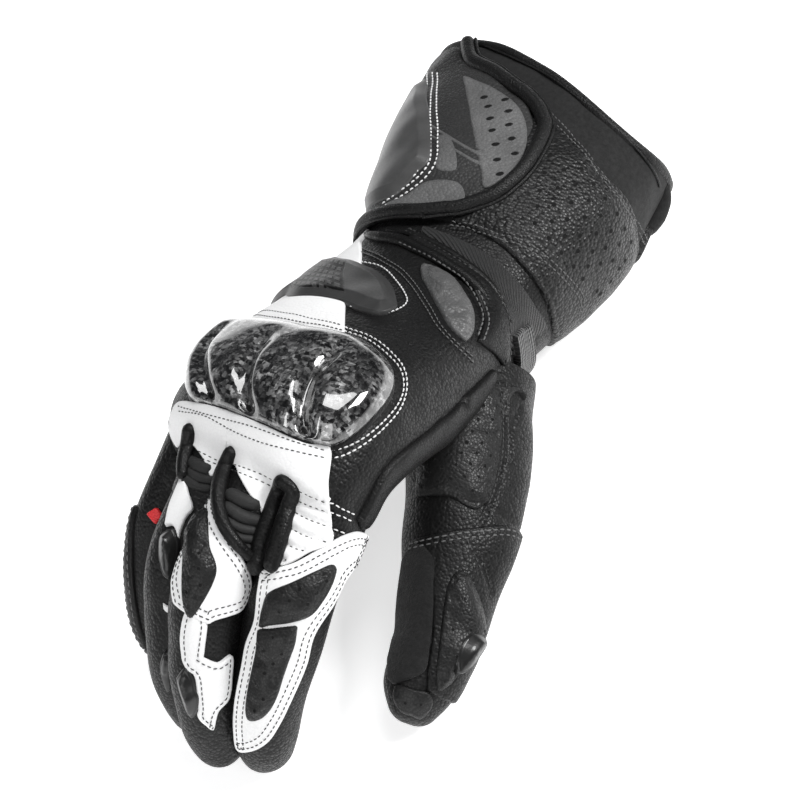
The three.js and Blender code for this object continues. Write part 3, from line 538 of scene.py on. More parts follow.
def panel(name, surface, outline, finish, nodes=None, low=0.0, lift=None, rings=RINGS, spacing=0.9,
          grid=1.5, pad=None, swell=0.8, skirt=0.7, **shape):
    """Layer laid on a surface inside a closed outline of places"""
    border = even(outline, surface, spacing, closed=True)
    edge_points = bare(surface, border[:, 0], border[:, 1])
    ring_line = np.vstack([edge_points, edge_points[:1]])

    def reach_of(spots):
        below = bare(surface, spots[:, 0], spots[:, 1])
        return below, path_distance(below, ring_line)[0]

    centre = border.mean(0)
    scale = chart_scale(surface, centre)
    spots = [border]
    for d in rings:
        loop = inset(surface, border, d)
        kept = loop[reach_of(loop)[1] > CLEAR_RING * d]
        spots.append(kept[::2] if d > THIN_FROM else kept)
    chart = border * scale
    low_corner, high_corner = chart.min(0), chart.max(0)
    inner = staggered(np.arange(low_corner[0], high_corner[0], grid),
                      np.arange(low_corner[1], high_corner[1], grid * HEX), grid)
    inner = inner[within(chart, inner)] / scale
    spots.append(inner[reach_of(inner)[1] > rings[-1] + 0.5 * grid])
    places = np.vstack(spots)
    n = len(border)
    edges = [(i, (i + 1) % n) for i in range(n)]
    result = delaunay_2d_cdt([Vector(v) for v in (places * scale)], edges, [], 1, 1e-5)
    flat = np.array([tuple(v) for v in result[0]]) / scale
    faces = [tuple(f) for f in result[2]]

    def top_at(spots):
        below, reach = reach_of(spots)
        return low + (lift(reach, below) if lift else section(reach, **shape))

    p = at(surface, flat[:, 0], flat[:, 1], top_at(flat))
    a, b, c = (p[[f[i] for f in faces]] for i in (0, 1, 2))
    middle = flat[[f[0] for f in faces]]
    _, normal, _, _ = frame_on(surface, middle[:, 0], middle[:, 1])
    if (np.cross(b - a, c - a) * normal).sum() < 0:
        faces = [(f[0], f[2], f[1]) for f in faces]
    sides = dict.fromkeys((f[i], f[(i + 1) % 3]) for f in faces for i in range(3))
    rim = [e for e in sides if (e[1], e[0]) not in sides]
    used = sorted({i for e in rim for i in e})
    index = {v: len(p) + k for k, v in enumerate(used)}
    sunk = at(surface, flat[used, 0], flat[used, 1], low - skirt)
    faces += [(e[1], e[0], index[e[0]], index[e[1]]) for e in rim]
    fields = np.column_stack([(flat - centre) * scale, reach_of(flat)[1]])
    fields = np.vstack([fields, fields[used]])
    nodes = [name] if nodes is None else nodes
    piece = add_mesh(name + "_form", np.vstack([p, sunk]), faces, finish, nodes, fields)
    if pad is not None:
        inflate(piece, swell)
    return Layer(border, top_at, piece)


# Material places on a tube: mm for a station, mm for a degree, and a depth clear of every edge
STATION = 25.0
DEGREE = 0.6
INNER = 9.0

# How far out, in radii, the rings of a roll's rounded end lie, and how small the last one is
ROUNDED_END = (0.5, 0.85, 1.0)
LAST_SHRINK = 0.05


def tube_quads(count, sides, closed=False):
    """Quads between rings of points, turned outwards"""
    faces = []
    for i in range(count if closed else count - 1):
        a, b = i * sides, (i + 1) % count * sides
        for j in range(sides):
            k = (j + 1) % sides
            faces.append((a + j, a + k, b + k, b + j))
    return faces


def shell(name, tube, end, steps, sides, finish, nodes=None, start=0.0, back=None, tip=0.0, drop=4.0):
    """Leather tube between two stations, with a rounded end, or open with an inside where back is given"""
    u = np.linspace(start, end, steps)
    deg = np.linspace(0, 360, sides, endpoint=False)
    rows = [(x, 0.0) for x in u]
    if tip:
        rows += [(end + tip * math.sin(t), -drop * (1 - math.cos(t))) for t in np.linspace(0.2, 1.4, 6)]
    if back is not None:
        rows = [(x, back) for x in u[::-1]] + rows
    v = [at(tube, x, deg, lift) for x, lift in rows]
    depth = np.full(sides, INNER)
    local = [np.column_stack([np.full(sides, x * STATION), deg * DEGREE, depth]) for x, _ in rows]
    faces = [(a, d, c, b) for a, b, c, d in tube_quads(len(rows), sides)]
    if back is None:
        last = (len(rows) - 1) * sides
        faces += [(last + j, len(rows) * sides, last + (j + 1) % sides) for j in range(sides)]
        v.append(v[-1].mean(0))
        local.append(np.array([[0, 0, INNER]]))
    nodes = [name] if nodes is None else nodes
    return add_mesh(name + "_form", np.vstack(v), faces, finish, nodes, np.vstack(local))


def bar(name, points, radius, finish, nodes=None, sides=14, closed=False, step=0.9, flat=1.0):
    """Round cord or roll along a smooth curve through points. The radius is a number or a list along it."""
    line = smooth(points, step, closed)
    n = len(line)
    along = unit(np.roll(line, -1, 0) - np.roll(line, 1, 0)) if closed else unit(np.gradient(line, axis=0))
    radii = np.interp(np.linspace(0, 1, n), np.linspace(0, 1, np.size(radius)), np.atleast_1d(radius))
    normals = [unit(np.cross(np.cross(along[0], [0, 0, 1.0]), along[0]))]
    for t in along[1:]:
        last = normals[-1]
        normals.append(unit(last - t * (last @ t)))
    twist = 0.0
    if closed:
        across = float(np.cross(normals[-1], normals[0]) @ along[0])
        twist = math.atan2(across, float(normals[-1] @ normals[0]))
    turn = np.linspace(0, 2 * math.pi, sides, endpoint=False)
    rings = []
    for i in range(n):
        side = np.cross(along[i], normals[i])
        angle = (turn + twist * i / n)[:, None]
        rings.append(line[i] + radii[i] * (np.cos(angle) * side + flat * np.sin(angle) * normals[i]))
    if not closed:
        for end, sign in ((0, -1), (n - 1, 1)):
            ring = rings[0] if sign < 0 else rings[-1]
            extra = []
            for s in ROUNDED_END:
                shrink = math.sqrt(1 - s * s) or LAST_SHRINK
                extra.append(line[end] + along[end] * sign * radii[end] * s + (ring - line[end]) * shrink)
            rings = extra[::-1] + rings if sign < 0 else rings + extra
    v = np.vstack(rings)
    v[:, 2] = np.maximum(v[:, 2], ROLL_ABOVE_FLOOR)
    faces = tube_quads(len(rings), sides, closed)
    if not closed:
        faces.append(tuple(range(sides))[::-1])
        faces.append(tuple(range(len(v) - sides, len(v))))
    return add_mesh(name + "_form", v, faces, finish, [name] if nodes is None else nodes)


# Stitches, one mesh for each colour of thread. A kind has a pitch, a length and a radius.
THREADS = {}
FINE = (1.75, 1.2, 0.17)
SEAM = (2.3, 1.9, 0.3)
RIDGE_SEAM = (2.75, 1.9, 0.3)
FLAP_SEAM = (2.1, 1.55, 0.33)
PANEL_SEAM = (2.0, 1.4, 0.24)
LOOP_SEAM = (2.0, 1.45, 0.26)
GUARD_SEAM = (2.0, 1.45, 0.27)
RIB_SEAM = (2.0, 1.45, 0.22)
CRESCENT_SEAM = (2.0, 1.4, 0.22)
THUMB_SEAM = (2.0, 1.4, 0.2)

# Rings of one stitch: place along it, radius and rise
BEAN = ((-0.5, 0.45, -0.5), (-0.3, 0.95, 0.0), (0.0, 1.05, 0.25), (0.3, 0.95, 0.0), (0.5, 0.45, -0.5))


def stitches(surface, places, colour, lift, kind=FINE, closed=False):
    pitch, length, radius = kind
    line = even(places, surface, pitch / 2, closed)
    line = line[: len(line) // 2 * 2] if closed else line
    p, n, _, _ = frame_on(surface, line[:, 0], line[:, 1], raised(lift, line))
    for i in range(0, len(p) - 1, 2):
        THREADS.setdefault(colour, []).append((p[i], unit(p[i + 1] - p[i]), n[i], length, radius))


def sew():
    sides = 6
    turns = [2 * math.pi * k / sides for k in range(sides)]
    bean = [(x, r * math.cos(turn), r * math.sin(turn) + rise) for x, r, rise in BEAN for turn in turns]
    bean = np.array(bean)
    faces = tube_quads(len(BEAN), sides)
    faces += [tuple(range(sides))[::-1], tuple(range(len(bean) - sides, len(bean)))]
    for colour, beans in THREADS.items():
        v, f = [], []
        for middle, along, normal, length, radius in beans:
            side = unit(np.cross(normal, along))
            base = len(v) * len(bean)
            v.append(middle + bean[:, :1] * along * length + bean[:, 1:2] * side * radius
                     + bean[:, 2:] * normal * radius)
            f += [tuple(i + base for i in face) for face in faces]
        add_mesh("stitching_" + colour, np.vstack(v), f, THREAD_FINISH[colour])


# Punched holes: a soft rim of leather around a near-black disc of painted shade that stands in for the hole.
# Rows of rings: radius and height
HOLES = []
HOLE_RIM = (1.45, -0.05), (1.2, 0.07), (0.98, 0.02)
HOLE_CENTRE = (1.02, 0.03), (0.6, 0.05)
RAY_START = 8.0
RAY_LENGTH = 20.0


def add_hole(spot, along, normal, radius, long=1.0):
    along = unit(along)
    HOLES.append((spot, unit(along - normal * (along @ normal)), normal, radius, long))


def holes(surface, places, radius, lift, long=1.0, direction=None):
    p, n, pa, _ = frame_on(surface, places[:, 0], places[:, 1], raised(lift, places))
    for i in range(len(p)):
        add_hole(p[i], pa[i] if direction is None else direction, n[i], radius, long)


def perforate(layer, surface, pitch, margin, radius, turn):
    """Rows of small holes over a pad, clear of its sewn edge"""
    border = layer.border
    centre = border.mean(0)
    scale = chart_scale(surface, centre)
    chart = (border - centre) * scale
    reach = np.linalg.norm(chart, axis=1).max()
    steps = np.arange(-reach, reach, pitch)
    c, s = math.cos(math.radians(turn)), math.sin(math.radians(turn))
    x, y = staggered(steps, steps * HEX, pitch).T
    grid = np.stack([x * c - y * s, x * s + y * c], -1)
    places = grid[within(chart, grid)] / scale + centre
    edge = bare(surface, border[:, 0], border[:, 1])
    gap, _ = path_distance(bare(surface, places[:, 0], places[:, 1]), np.vstack([edge, edge[:1]]))
    places = places[gap > margin]
    p, n, pa, _ = frame_on(surface, places[:, 0], places[:, 1], layer.height(places))
    tree = BVHTree.FromObject(layer.piece, bpy.context.evaluated_depsgraph_get())
    for i in range(len(p)):
        start = (p[i] + RAY_START * n[i]) * MM
        spot, normal, _, _ = tree.ray_cast(Vector(start), Vector(-n[i]), RAY_LENGTH * MM)
        if spot is not None:
            normal = np.array(normal) * (1 if np.dot(normal, n[i]) > 0 else -1)
            add_hole(np.array(spot) / MM, pa[i], normal, radius)


def punch():
    sides = 12
    turn = np.linspace(0, 2 * math.pi, sides, endpoint=False)
    ring = np.stack([np.cos(turn), np.sin(turn)], -1)
    for name, rows, finish in (("hole_rims", HOLE_RIM, PUNCHED), ("hole_centres", HOLE_CENTRE, HOLE_SHADE)):
        v, f = [], []
        for p, along, normal, radius, long in HOLES:
            side = np.cross(normal, along)
            base = len(v)
            for size, rise in rows:
                for x, y in ring:
                    v.append(p + along * x * size * radius * long + side * y * size * radius + normal * rise)
            f += [tuple(base + i for i in quad) for quad in tube_quads(len(rows), sides)]
            if finish == HOLE_SHADE:
                f.append(tuple(range(len(v) - sides, len(v))))
        add_mesh(name, np.array(v), f, finish)


# Outlines read off the photograph, in its pixels
FLAP_GREYS = {
    "end": [
        (463.5, 76.5), (479, 82), (496, 89.5), (511.5, 100), (522, 113), (527, 130.5), (525.5, 148),
        (518, 163), (502.5, 178.5), (484, 188), (481, 172), (474.5, 141.5), (469, 111), (465.5, 89.5),
    ],
    "upper": [(438.5, 136), (449.5, 137), (456, 169.5), (437.5, 170), (435.5, 163.5), (438.5, 150)],
    "lower": [
        (426.5, 181.5), (459.5, 183.5), (464, 200.5), (431, 208), (389, 213.5), (386.5, 204.5), (405, 195),
    ],
}
FLAP_HOLES = [
    (484, 97), (488, 106), (490, 118.5), (492, 130), (495.5, 144), (497, 159), (500, 174), (505, 99.5),
    (508.5, 111.5), (509, 125), (511.5, 138.5), (515, 152.5),
]
FLAP_BANDS = [
    [(427, 73), (425, 106.5), (424.5, 137), (423.5, 159), (415, 174.5), (394, 190), (381, 201)],
    [(432, 73), (430.5, 106.5), (431, 141.5), (429.5, 162), (420, 175), (399.5, 190.5), (381, 204)],
    [(436.5, 73), (436.5, 106.5), (438, 141.5), (436, 162), (426.5, 176.5), (405, 192.5), (381, 207)],
]
PANEL_HOLES = [
    (556.5, 140.5), (569, 154.5), (581.5, 169), (593.5, 184), (604, 199), (616, 214), (624.5, 229),
    (550, 156.5), (563.5, 170.5), (575, 185), (588, 201), (600, 216), (610.5, 231), (619, 244.5),
    (544.5, 173), (558, 187.5), (571, 202.5), (584, 217.5), (596.5, 233.5), (606, 248), (612.5, 260.5),
    (540, 190), (554, 204.5), (567, 219.5), (580, 235.5), (593.5, 251.5), (601, 263.5), (537.5, 206),
    (551.5, 221.5), (565, 236), (578.5, 251), (588.5, 266.5), (534.5, 223.5), (548.5, 238.5), (561.5, 252.5),
    (574, 266.5), (582.5, 279), (624.5, 260.5), (630.5, 242), (619, 268.5), (610.5, 281.5), (600, 293.5),
    (596.5, 291),
]
PANEL_ROWS = [
    [
        (547, 112), (567.5, 132.5), (589.5, 157), (611, 188), (628.5, 211), (641, 230.5), (644.5, 245.5),
        (642, 258.5),
    ],
    [
        (452.5, 222.5), (474.5, 226), (500.5, 237), (524.5, 245.5), (548, 263), (570, 285), (579.5, 299.5),
        (577, 317),
    ],
]
RIM_SEAM = [
    (479, 43.5), (513.5, 58), (548, 75.5), (578.5, 98), (611, 124), (643.5, 156.5), (658.5, 180.5),
    (661, 191.5),
]
ROLL_UPPER = [
    (387, 229), (415.5, 235.5), (444, 248.5), (472.5, 268), (493, 287.5), (505.5, 305.5), (511.5, 322),
]
ROLL_LOWER = [
    (362.5, 232.5), (395, 238.5), (423.5, 250.5), (452, 266), (476.5, 285.5), (493, 305.5), (499, 326),
]
CRESCENT_PAD = [
    (421.5, 262), (436, 264), (452, 273), (464.5, 287.5), (474.5, 303.5), (477, 318), (475, 333.5),
    (468.5, 339.5), (459.5, 332), (452, 323), (442, 308), (430, 287.5), (422, 272),
]
CRESCENT_ROW = [(362, 247), (383, 257), (407, 273), (424, 297), (440, 322), (456, 342), (475, 359)]
BAND_INNER = [(403.5, 242.5), (430, 254.5), (452, 268), (467.5, 281), (481, 301.5), (485, 318), (479, 340.5)]
BAND_OUTER = [
    (413.5, 228), (444, 244.5), (474.5, 265), (497, 285.5), (509, 310), (511.5, 334.5), (510, 359),
    (507, 371),
]
HAND_HOLES = [(400, 326.5), (416.5, 325.5), (412, 342), (426, 354.5), (442, 358), (432.5, 372)]
WHITE_UPPER_EDGE = [
    (358.5, 238), (358.5, 238), (360, 261), (360, 261), (350, 281), (345, 300.5), (345, 300.5), (345, 336.5),
    (345, 336.5),
]
WHITE_ROWS = [
    [(233.5, 321.5), (250.5, 315.5), (285, 318.5), (316, 324.5), (343, 331)],
    [(244, 317), (263, 310.5), (294, 314), (343, 326)],
]
GUARD_LOOP = [
    (360.5, 260), (379, 264), (393, 275), (403.5, 289.5), (407.5, 299.5), (401, 306.5), (385, 312),
    (366.5, 309), (347, 303.5),
]
UPPER_GUARD = [
    (330, 252.5), (346, 254.5), (362.5, 260), (381, 269), (392, 279), (398, 293.5), (399, 301.5),
    (393, 305.5), (381, 308), (362.5, 303.5), (342, 296.5), (317.5, 292.5), (282, 291.5), (284, 287.5),
    (301, 271), (321.5, 258),
]
GUARD_TOP = [
    (244, 324), (281, 323.5), (321.5, 332), (344.5, 337.5), (366.5, 345), (383, 359), (391.5, 373),
    (392.5, 387.5), (387.5, 399.5), (374.5, 416), (358.5, 432), (342, 442.5), (328, 447),
]
GUARD_FOOT = [(306.5, 441), (283, 432), (259, 421.5), (237, 412.5), (215, 405), (198, 401), (185, 399)]
GUARD_ROWS = [
    [
        (345, 331.5), (366.5, 339), (387, 352.5), (401, 371), (403.5, 389.5), (397.5, 404.5), (383, 422),
        (362.5, 439), (346, 447), (330, 451),
    ],
    [
        (346, 328), (370.5, 336.5), (391, 350.5), (403.5, 367.5), (407, 387.5), (401.5, 406), (387.5, 424.5),
        (366.5, 443), (346, 454.5), (330, 459),
    ],
]
VALLEYS = [
    [(208, 405), (204.5, 382), (206, 357), (220, 340), (249, 325)],
    [(248, 420), (245, 390), (253.5, 363), (265.5, 347), (279, 333)],
    [(305.5, 445), (303.5, 408), (308.5, 387), (318.5, 370), (332, 358), (345, 340)],
]
WHITE_KNUCKLE = [
    (179.5, 402), (215, 406.5), (259, 422.5), (306.5, 443.5), (329.5, 446), (328.5, 484), (329.5, 507),
    (332, 542.5), (310.5, 552), (278, 565.5), (262.5, 549), (261.5, 522.5), (261.5, 510), (249, 493.5),
    (237.5, 473.5), (234, 465), (222.5, 463), (211.5, 477), (203.5, 459.5), (197.5, 450.5), (193.5, 446),
    (182.5, 444), (179, 447), (170, 425), (173.5, 411.5),
]
KNUCKLE_ROWS = [
    [(179.5, 406.5), (207, 414.5), (253, 427), (291.5, 441), (328.5, 451.5)],
    [(180.5, 411.5), (203.5, 415.5), (234, 431.5), (262.5, 443), (291.5, 450.5), (328.5, 458.5)],
]
WEB_ROWS = [
    [(200.5, 452.5), (221.5, 462), (238.5, 466), (279, 481.5), (299, 490), (329.5, 503), (356.5, 515.5)],
    [
        (203.5, 459.5), (220.5, 466), (241.5, 473.5), (268.5, 485), (295, 499.5), (329.5, 512.5),
        (355.5, 522.5),
    ],
]
INDEX_RIBS = [
    [(292.5, 511), (306.5, 518.5), (331.5, 528), (347, 534)],
    [(286.5, 525.5), (303, 535), (327.5, 542.5)],
    [(281, 541), (293, 547.5), (308.5, 552)],
    [(276, 557), (288.5, 561)],
]
MIDDLE_FOLDS = [
    [(232, 487), (249, 493.5)],
    [(228, 500.5), (245.5, 510), (261.5, 515)],
    [(225.5, 514.5), (241.5, 523), (259.5, 526.5)],
    [(223.5, 526.5), (239.5, 533), (257, 535)],
    [(230, 537.5), (241.5, 542.5), (253, 544)],
    [(234, 549), (242.5, 552), (250, 553)],
]
RING_FOLDS = [
    [(190, 454.5), (203.5, 461.5)],
    [(185.5, 464), (197.5, 471.5), (210.5, 475)],
    [(185, 473.5), (197.5, 481.5), (209.5, 484.5)],
    [(187, 484), (197.5, 490.5), (207, 492)],
]
INDEX_LOOP = [
    (256, 566), (259, 552), (263.5, 536), (269, 519), (274, 503), (278.5, 490), (281.5, 482), (287, 477.5),
    (292, 482), (292, 491), (288.5, 505), (284, 520), (278, 541), (271.5, 564),
]
MIDDLE_LOOP = [(230, 454), (224.5, 467), (219, 484), (218, 504), (224, 525), (236.5, 543), (249, 556)]
RING_LOOP = [(189, 431), (187, 446), (183, 459.5), (181.5, 473.5)]
INDEX_OVERLAY = [
    (259, 569.5), (259, 569.5), (291.5, 562.5), (320, 549), (348.5, 536), (364, 533.5), (371, 537),
    (370, 544), (364, 557), (348.5, 581.5), (336.5, 606.5), (316, 637), (308.5, 664.5), (293, 702.5),
    (282.5, 723.5), (269, 743), (254, 752.5), (238.5, 754.5), (233, 749.5), (231, 731.5), (233, 702.5),
    (238.5, 664.5), (242.5, 643.5), (252, 620), (255.5, 591.5),
]
INDEX_UPPER_PAD = [
    (263.5, 593), (291.5, 581.5), (320, 570.5), (337, 565.5), (341.5, 569.5), (340.5, 578), (337, 588.5),
    (327.5, 604.5), (314.5, 618), (291.5, 625), (268.5, 627.5), (254, 629), (254.5, 622), (258, 606.5),
]
INDEX_LOWER_PAD = [
    (252.5, 631), (268.5, 629.5), (291.5, 627.5), (299.5, 627.5), (299, 632), (297, 647), (290.5, 664.5),
    (284.5, 681.5), (279, 699), (271, 714), (261.5, 722.5), (252, 725.5), (244.5, 723.5), (241.5, 716),
    (242, 699), (245.5, 674), (250, 651), (251.5, 635.5),
]
MIDDLE_OVERLAY = [
    (211.5, 477), (215, 507), (222.5, 524.5), (234, 543.5), (245.5, 560.5), (253, 576), (254.5, 587.5),
    (251, 601), (243.5, 612.5), (230, 618), (215, 622.5), (209, 626),
]
MIDDLE_PAD = [
    (200.5, 503.5), (204.5, 522.5), (208, 545.5), (215, 560.5), (217, 570.5), (213.5, 583.5), (205, 599),
    (195.5, 612.5), (188, 620.5), (182.5, 617.5), (177.5, 604.5), (175.5, 587.5), (175.5, 562.5),
    (176.5, 543.5), (179.5, 530), (186, 516.5), (193.5, 508),
]
MIDDLE_SLIDER = [
    (170, 681), (181.5, 670), (192, 685), (195.5, 696.5), (198.5, 702.5), (195.5, 718), (189, 724.5),
    (181, 718), (175.5, 704.5), (171.5, 691), (170, 681.5),
]
RING_OVERLAY = [
    (179, 476.5), (179, 476.5), (183, 477.5), (188, 492), (193, 508), (186, 516.5), (179.5, 532),
    (178, 540.5), (171.5, 524.5), (163, 525.5), (163, 525.5), (167, 507), (172.5, 492),
]
RING_STRIPE = [
    (162, 603.5), (162, 603.5), (176, 612), (176, 612), (176, 619), (176, 619), (163, 610.5), (163, 610.5),
]
KNUCKLE_SLIDER = [
    (154.5, 532), (169, 525.5), (171.5, 527), (178.5, 541.5), (177.5, 559), (173.5, 572), (167, 581.5),
    (159.5, 577), (154.5, 564.5), (152, 549),
]
TIP_SLIDER = [
    (155.5, 667), (161, 655.5), (180, 665), (170, 681), (171, 689), (168, 696.5), (163, 696.5), (158.5, 687),
    (155.5, 675.5),
]
RED_TAG = [
    (146.5, 514), (146.5, 514), (156.5, 507), (156.5, 507), (163, 515.5), (163, 515.5), (155.5, 524.5),
    (155.5, 524.5),
]
THUMB_CAP_EDGE = [
    (410.5, 538.5), (429, 533.5), (452, 529), (479.5, 526), (507, 525), (516, 529), (519, 540.5),
    (518.5, 561.5),
]
THUMB_SUEDE = [(426.5, 542), (436, 557), (435.5, 586.5), (433, 621), (429, 651), (425.5, 669.5), (392, 684)]
THUMB_PAD = [
    (459, 568), (449, 580), (444, 602), (440, 640), (437.5, 676), (441, 692), (452, 687), (464, 672),
    (479, 654), (487.5, 637), (487, 612), (479, 588), (469, 571),
]
THUMB_SLIDER = [
    (463, 644), (470, 635), (478, 631.5), (488.5, 636), (491.5, 644), (484, 659), (473.5, 671.5),
    (463.5, 675), (459, 664.5),
]
THUMB_SEAMS = [
    [(503, 384), (507, 429), (505, 460), (491.5, 506), (484, 519)],
    [(524, 403), (513, 433), (514.5, 468)],
    [(472, 541), (483, 566), (494, 600)],
]


# Materials, all from nodes in the object's own axes
class Nodes:
    def __init__(self, name):
        self.material = bpy.data.materials.new(name)
        self.material.use_nodes = True
        self.tree = self.material.node_tree
        self.shader = self.tree.nodes["Principled BSDF"]
        self.where = self.node("ShaderNodeTexCoord").outputs["Object"]

    def node(self, kind, inputs=None, **settings):
        made = self.tree.nodes.new(kind)
        for key, value in settings.items():
            setattr(made, key, value)
        for key, value in (inputs or {}).items():
            self.feed(made.inputs[key], value)
        return made

    def feed(self, socket, value):
        if isinstance(value, bpy.types.NodeSocket):
            self.tree.links.new(value, socket)
        else:
            socket.default_value = value

    def math(self, operation, *values):
        return self.node("ShaderNodeMath", dict(enumerate(values)), operation=operation).outputs[0]

    def add(self, a, b):
        return self.math("ADD", a, b)

    def times(self, a, b):
        return self.math("MULTIPLY", a, b)

    def wave(self, value, pitch):
        return self.math("SINE", self.times(value, 2 * math.pi / pitch))

    def mix(self, share, a, b):
        return self.node("ShaderNodeMix", {0: share, 6: a, 7: b}, data_type="RGBA").outputs[2]

    def stretched(self, scale):
        return self.node("ShaderNodeMapping", {"Vector": self.where, "Scale": scale}).outputs[0]

    def noise(self, size_mm, detail=3.0, rough=0.5, stretch=None):
        vector = self.stretched(stretch) if stretch else self.where
        inputs = {"Vector": vector, "Scale": 1000 / size_mm, "Detail": detail, "Roughness": rough}
        return self.node("ShaderNodeTexNoise", inputs).outputs["Fac"]

    def cells(self, size_mm, feature, **inputs):
        inputs = {"Vector": self.where, "Scale": 1000 / size_mm, **inputs}
        return self.node("ShaderNodeTexVoronoi", inputs, feature=feature).outputs["Distance"]

    def bump(self, height, depth_mm, strength=1.0, **under):
        inputs = {"Height": height, "Distance": depth_mm * MM, "Strength": strength, **under}
        return self.node("ShaderNodeBump", inputs).outputs["Normal"]

    def ranged(self, value, a, b, low=0.0, high=1.0):
        return self.node("ShaderNodeMapRange", dict(enumerate((value, a, b, low, high)))).outputs[0]

    def place(self, axis):
        made = self.node("ShaderNodeAttribute", attribute_name="place")
        return self.node("ShaderNodeSeparateXYZ", {0: made.outputs["Vector"]}).outputs[axis]

    def finish(self, colour, roughness, normal, **shader):
        for key, value in {"Base Color": colour, "Roughness": roughness, "Normal": normal, **shader}.items():
            self.feed(self.shader.inputs[key.replace("_", " ")], value)
        return self.material


def grey(value):
    return value, value, value, 1.0


def leather(name, tone, rough, pebble, depth, fine=0.04, shine=0.24, vary=0.25, lines=0.45):
    """Pebbled leather, with shade painted into its cracks and along its sewn edges, as dark as lines sets.
    Sizes and depths are in mm.
    """
    m = Nodes(name)
    warp = m.noise(6.0, 2.0)
    cell = m.cells(pebble, "SMOOTH_F1", Smoothness=0.25)
    crack = m.cells(pebble, "DISTANCE_TO_EDGE")
    pores = m.noise(0.45, 2.0)
    domes = m.times(m.math("POWER", cell, 2.0), -2.4)
    normal = m.bump(m.add(domes, m.times(warp, 0.8)), depth)
    normal = m.bump(pores, fine, Normal=normal)
    normal = m.bump(m.noise(14.0, 2.0), 0.35, 0.6, Normal=normal)
    colour = m.mix(m.ranged(m.noise(22.0), 0.3, 0.7), grey(tone * (1 - vary)), grey(tone * (1 + vary)))
    # Painted shade: darker colour in the cracks between the pebbles
    colour = m.mix(m.ranged(crack, 0.0, 0.1, lines, 0.0), colour, grey(tone * 0.35))
    # Painted shade: darker colour within 1.6 mm of a sewn edge
    colour = m.mix(m.ranged(m.place(2), 0.0, 1.6, 0.8 * lines, 0.0), colour, grey(tone * 0.45))
    mottled = m.add(m.times(warp, 0.5), m.times(pores, 0.5))
    roughness = m.ranged(mottled, 0.3, 0.7, rough - 0.07, rough + 0.07)
    roughness = m.add(roughness, m.ranged(crack, 0.0, 0.16, 0.35, 0.0))
    return m.finish(colour, roughness, normal, Specular_IOR_Level=shine)


def cloth(name, tone, rough, pitch, depth, sheen=0.3, ribs=False):
    """Woven ribs or a twill, with a little fuzz, and with painted shade and light: darker where the weave is
    low, lighter where it is high
    """
    m = Nodes(name)
    x, y = m.place(0), m.place(1)
    if ribs:
        height = m.add(m.wave(x, pitch), m.times(m.wave(y, pitch * 0.8), 0.35))
    else:
        cross = m.wave(m.math("SUBTRACT", y, x), pitch * 0.7)
        height = m.add(m.wave(m.add(x, m.times(y, 0.6)), pitch), m.times(cross, 0.3))
    fuzz = m.noise(0.5)
    height = m.add(height, m.times(fuzz, 0.8))
    # Painted shade and light: the colour follows the bump height, darker in the weave's hollows and lighter
    # on its raised threads
    colour = m.mix(m.ranged(height, -1.0, 1.6), grey(tone * 0.4), grey(tone * 1.5))
    colour = m.mix(m.ranged(m.noise(15.0, 2.0), 0.35, 0.7, 0.0, 0.3), colour, grey(tone * 0.6))
    roughness = m.ranged(fuzz, 0.3, 0.7, rough - 0.06, rough + 0.06)
    return m.finish(colour, roughness, m.bump(height, depth), Sheen_Weight=sheen, Sheen_Roughness=0.5)


def nap(name, tone, size, depth, sheen):
    """Short nap of suede or neoprene"""
    m = Nodes(name)
    short = m.noise(size, 5.0, 0.7)
    clumps = m.noise(size * 3.2, 3.0, 0.6)
    normal = m.bump(m.add(short, m.times(clumps, 0.7)), depth)
    colour = m.mix(m.ranged(short, 0.42, 0.66), grey(tone * 0.4), grey(tone * 3.0))
    roughness = m.ranged(clumps, 0.3, 0.7, 0.78, 0.95)
    return m.finish(colour, roughness, normal, Sheen_Weight=sheen, Sheen_Roughness=0.4)


# The grid cut into the upper guard: direction, pitch and width of its two sets of lines. One set ends at
# GRID_END, and both fade out between the two distances of GRID_EDGE from the plate's edge, all in mm.
GRID_ALONG = (-0.723, -1.393), 3.1, 0.9
GRID_ACROSS = (1.447, 0.613), 4.6, 1.6
GRID_END = 14.8
GRID_EDGE = 3.2, 3.5


def plastic(name, tone, rough, coat=0.0, grid=False):
    m = Nodes(name)
    grain = m.noise(0.7)
    normal = m.bump(grain, 0.03)
    colour = m.mix(m.ranged(m.noise(9.0), 0.35, 0.65), grey(tone * 0.85), grey(tone * 1.15))
    # Painted highlight: lighter colour within 0.5 mm of the plate's edge
    colour = m.mix(m.ranged(m.place(2), 0.0, 0.5, 0.5, 0.0), colour, grey(tone * 1.7))
    if grid:
        lines, runs = [], []
        for (u, v), pitch, width in (GRID_ALONG, GRID_ACROSS):
            runs.append(m.add(m.times(m.place(0), u), m.times(m.place(1), v)))
            part = m.math("FRACT", m.math("DIVIDE", runs[-1], pitch))
            off = m.times(m.math("ABSOLUTE", m.math("SUBTRACT", part, 0.5)), pitch)
            lines.append(m.ranged(off, width * 0.5, width * 0.8, 1.0, 0.0))
        line = m.times(m.math("MAXIMUM", *lines), m.ranged(runs[0], GRID_END - 0.4, GRID_END, 1.0, 0.0))
        line = m.times(line, m.ranged(m.place(2), *GRID_EDGE))
        # Painted shade: the cut grooves of the grid are coloured near black, on top of the bump that cuts
        # them in
        colour = m.mix(line, colour, grey(0.001))
        normal = m.bump(m.math("SUBTRACT", 1.0, line), 0.5, Normal=normal)
    roughness = m.ranged(grain, 0.3, 0.7, rough - 0.05, rough + 0.05)
    return m.finish(colour, roughness, normal, Specular_IOR_Level=0.3, Coat_Weight=coat, Coat_Roughness=0.1)


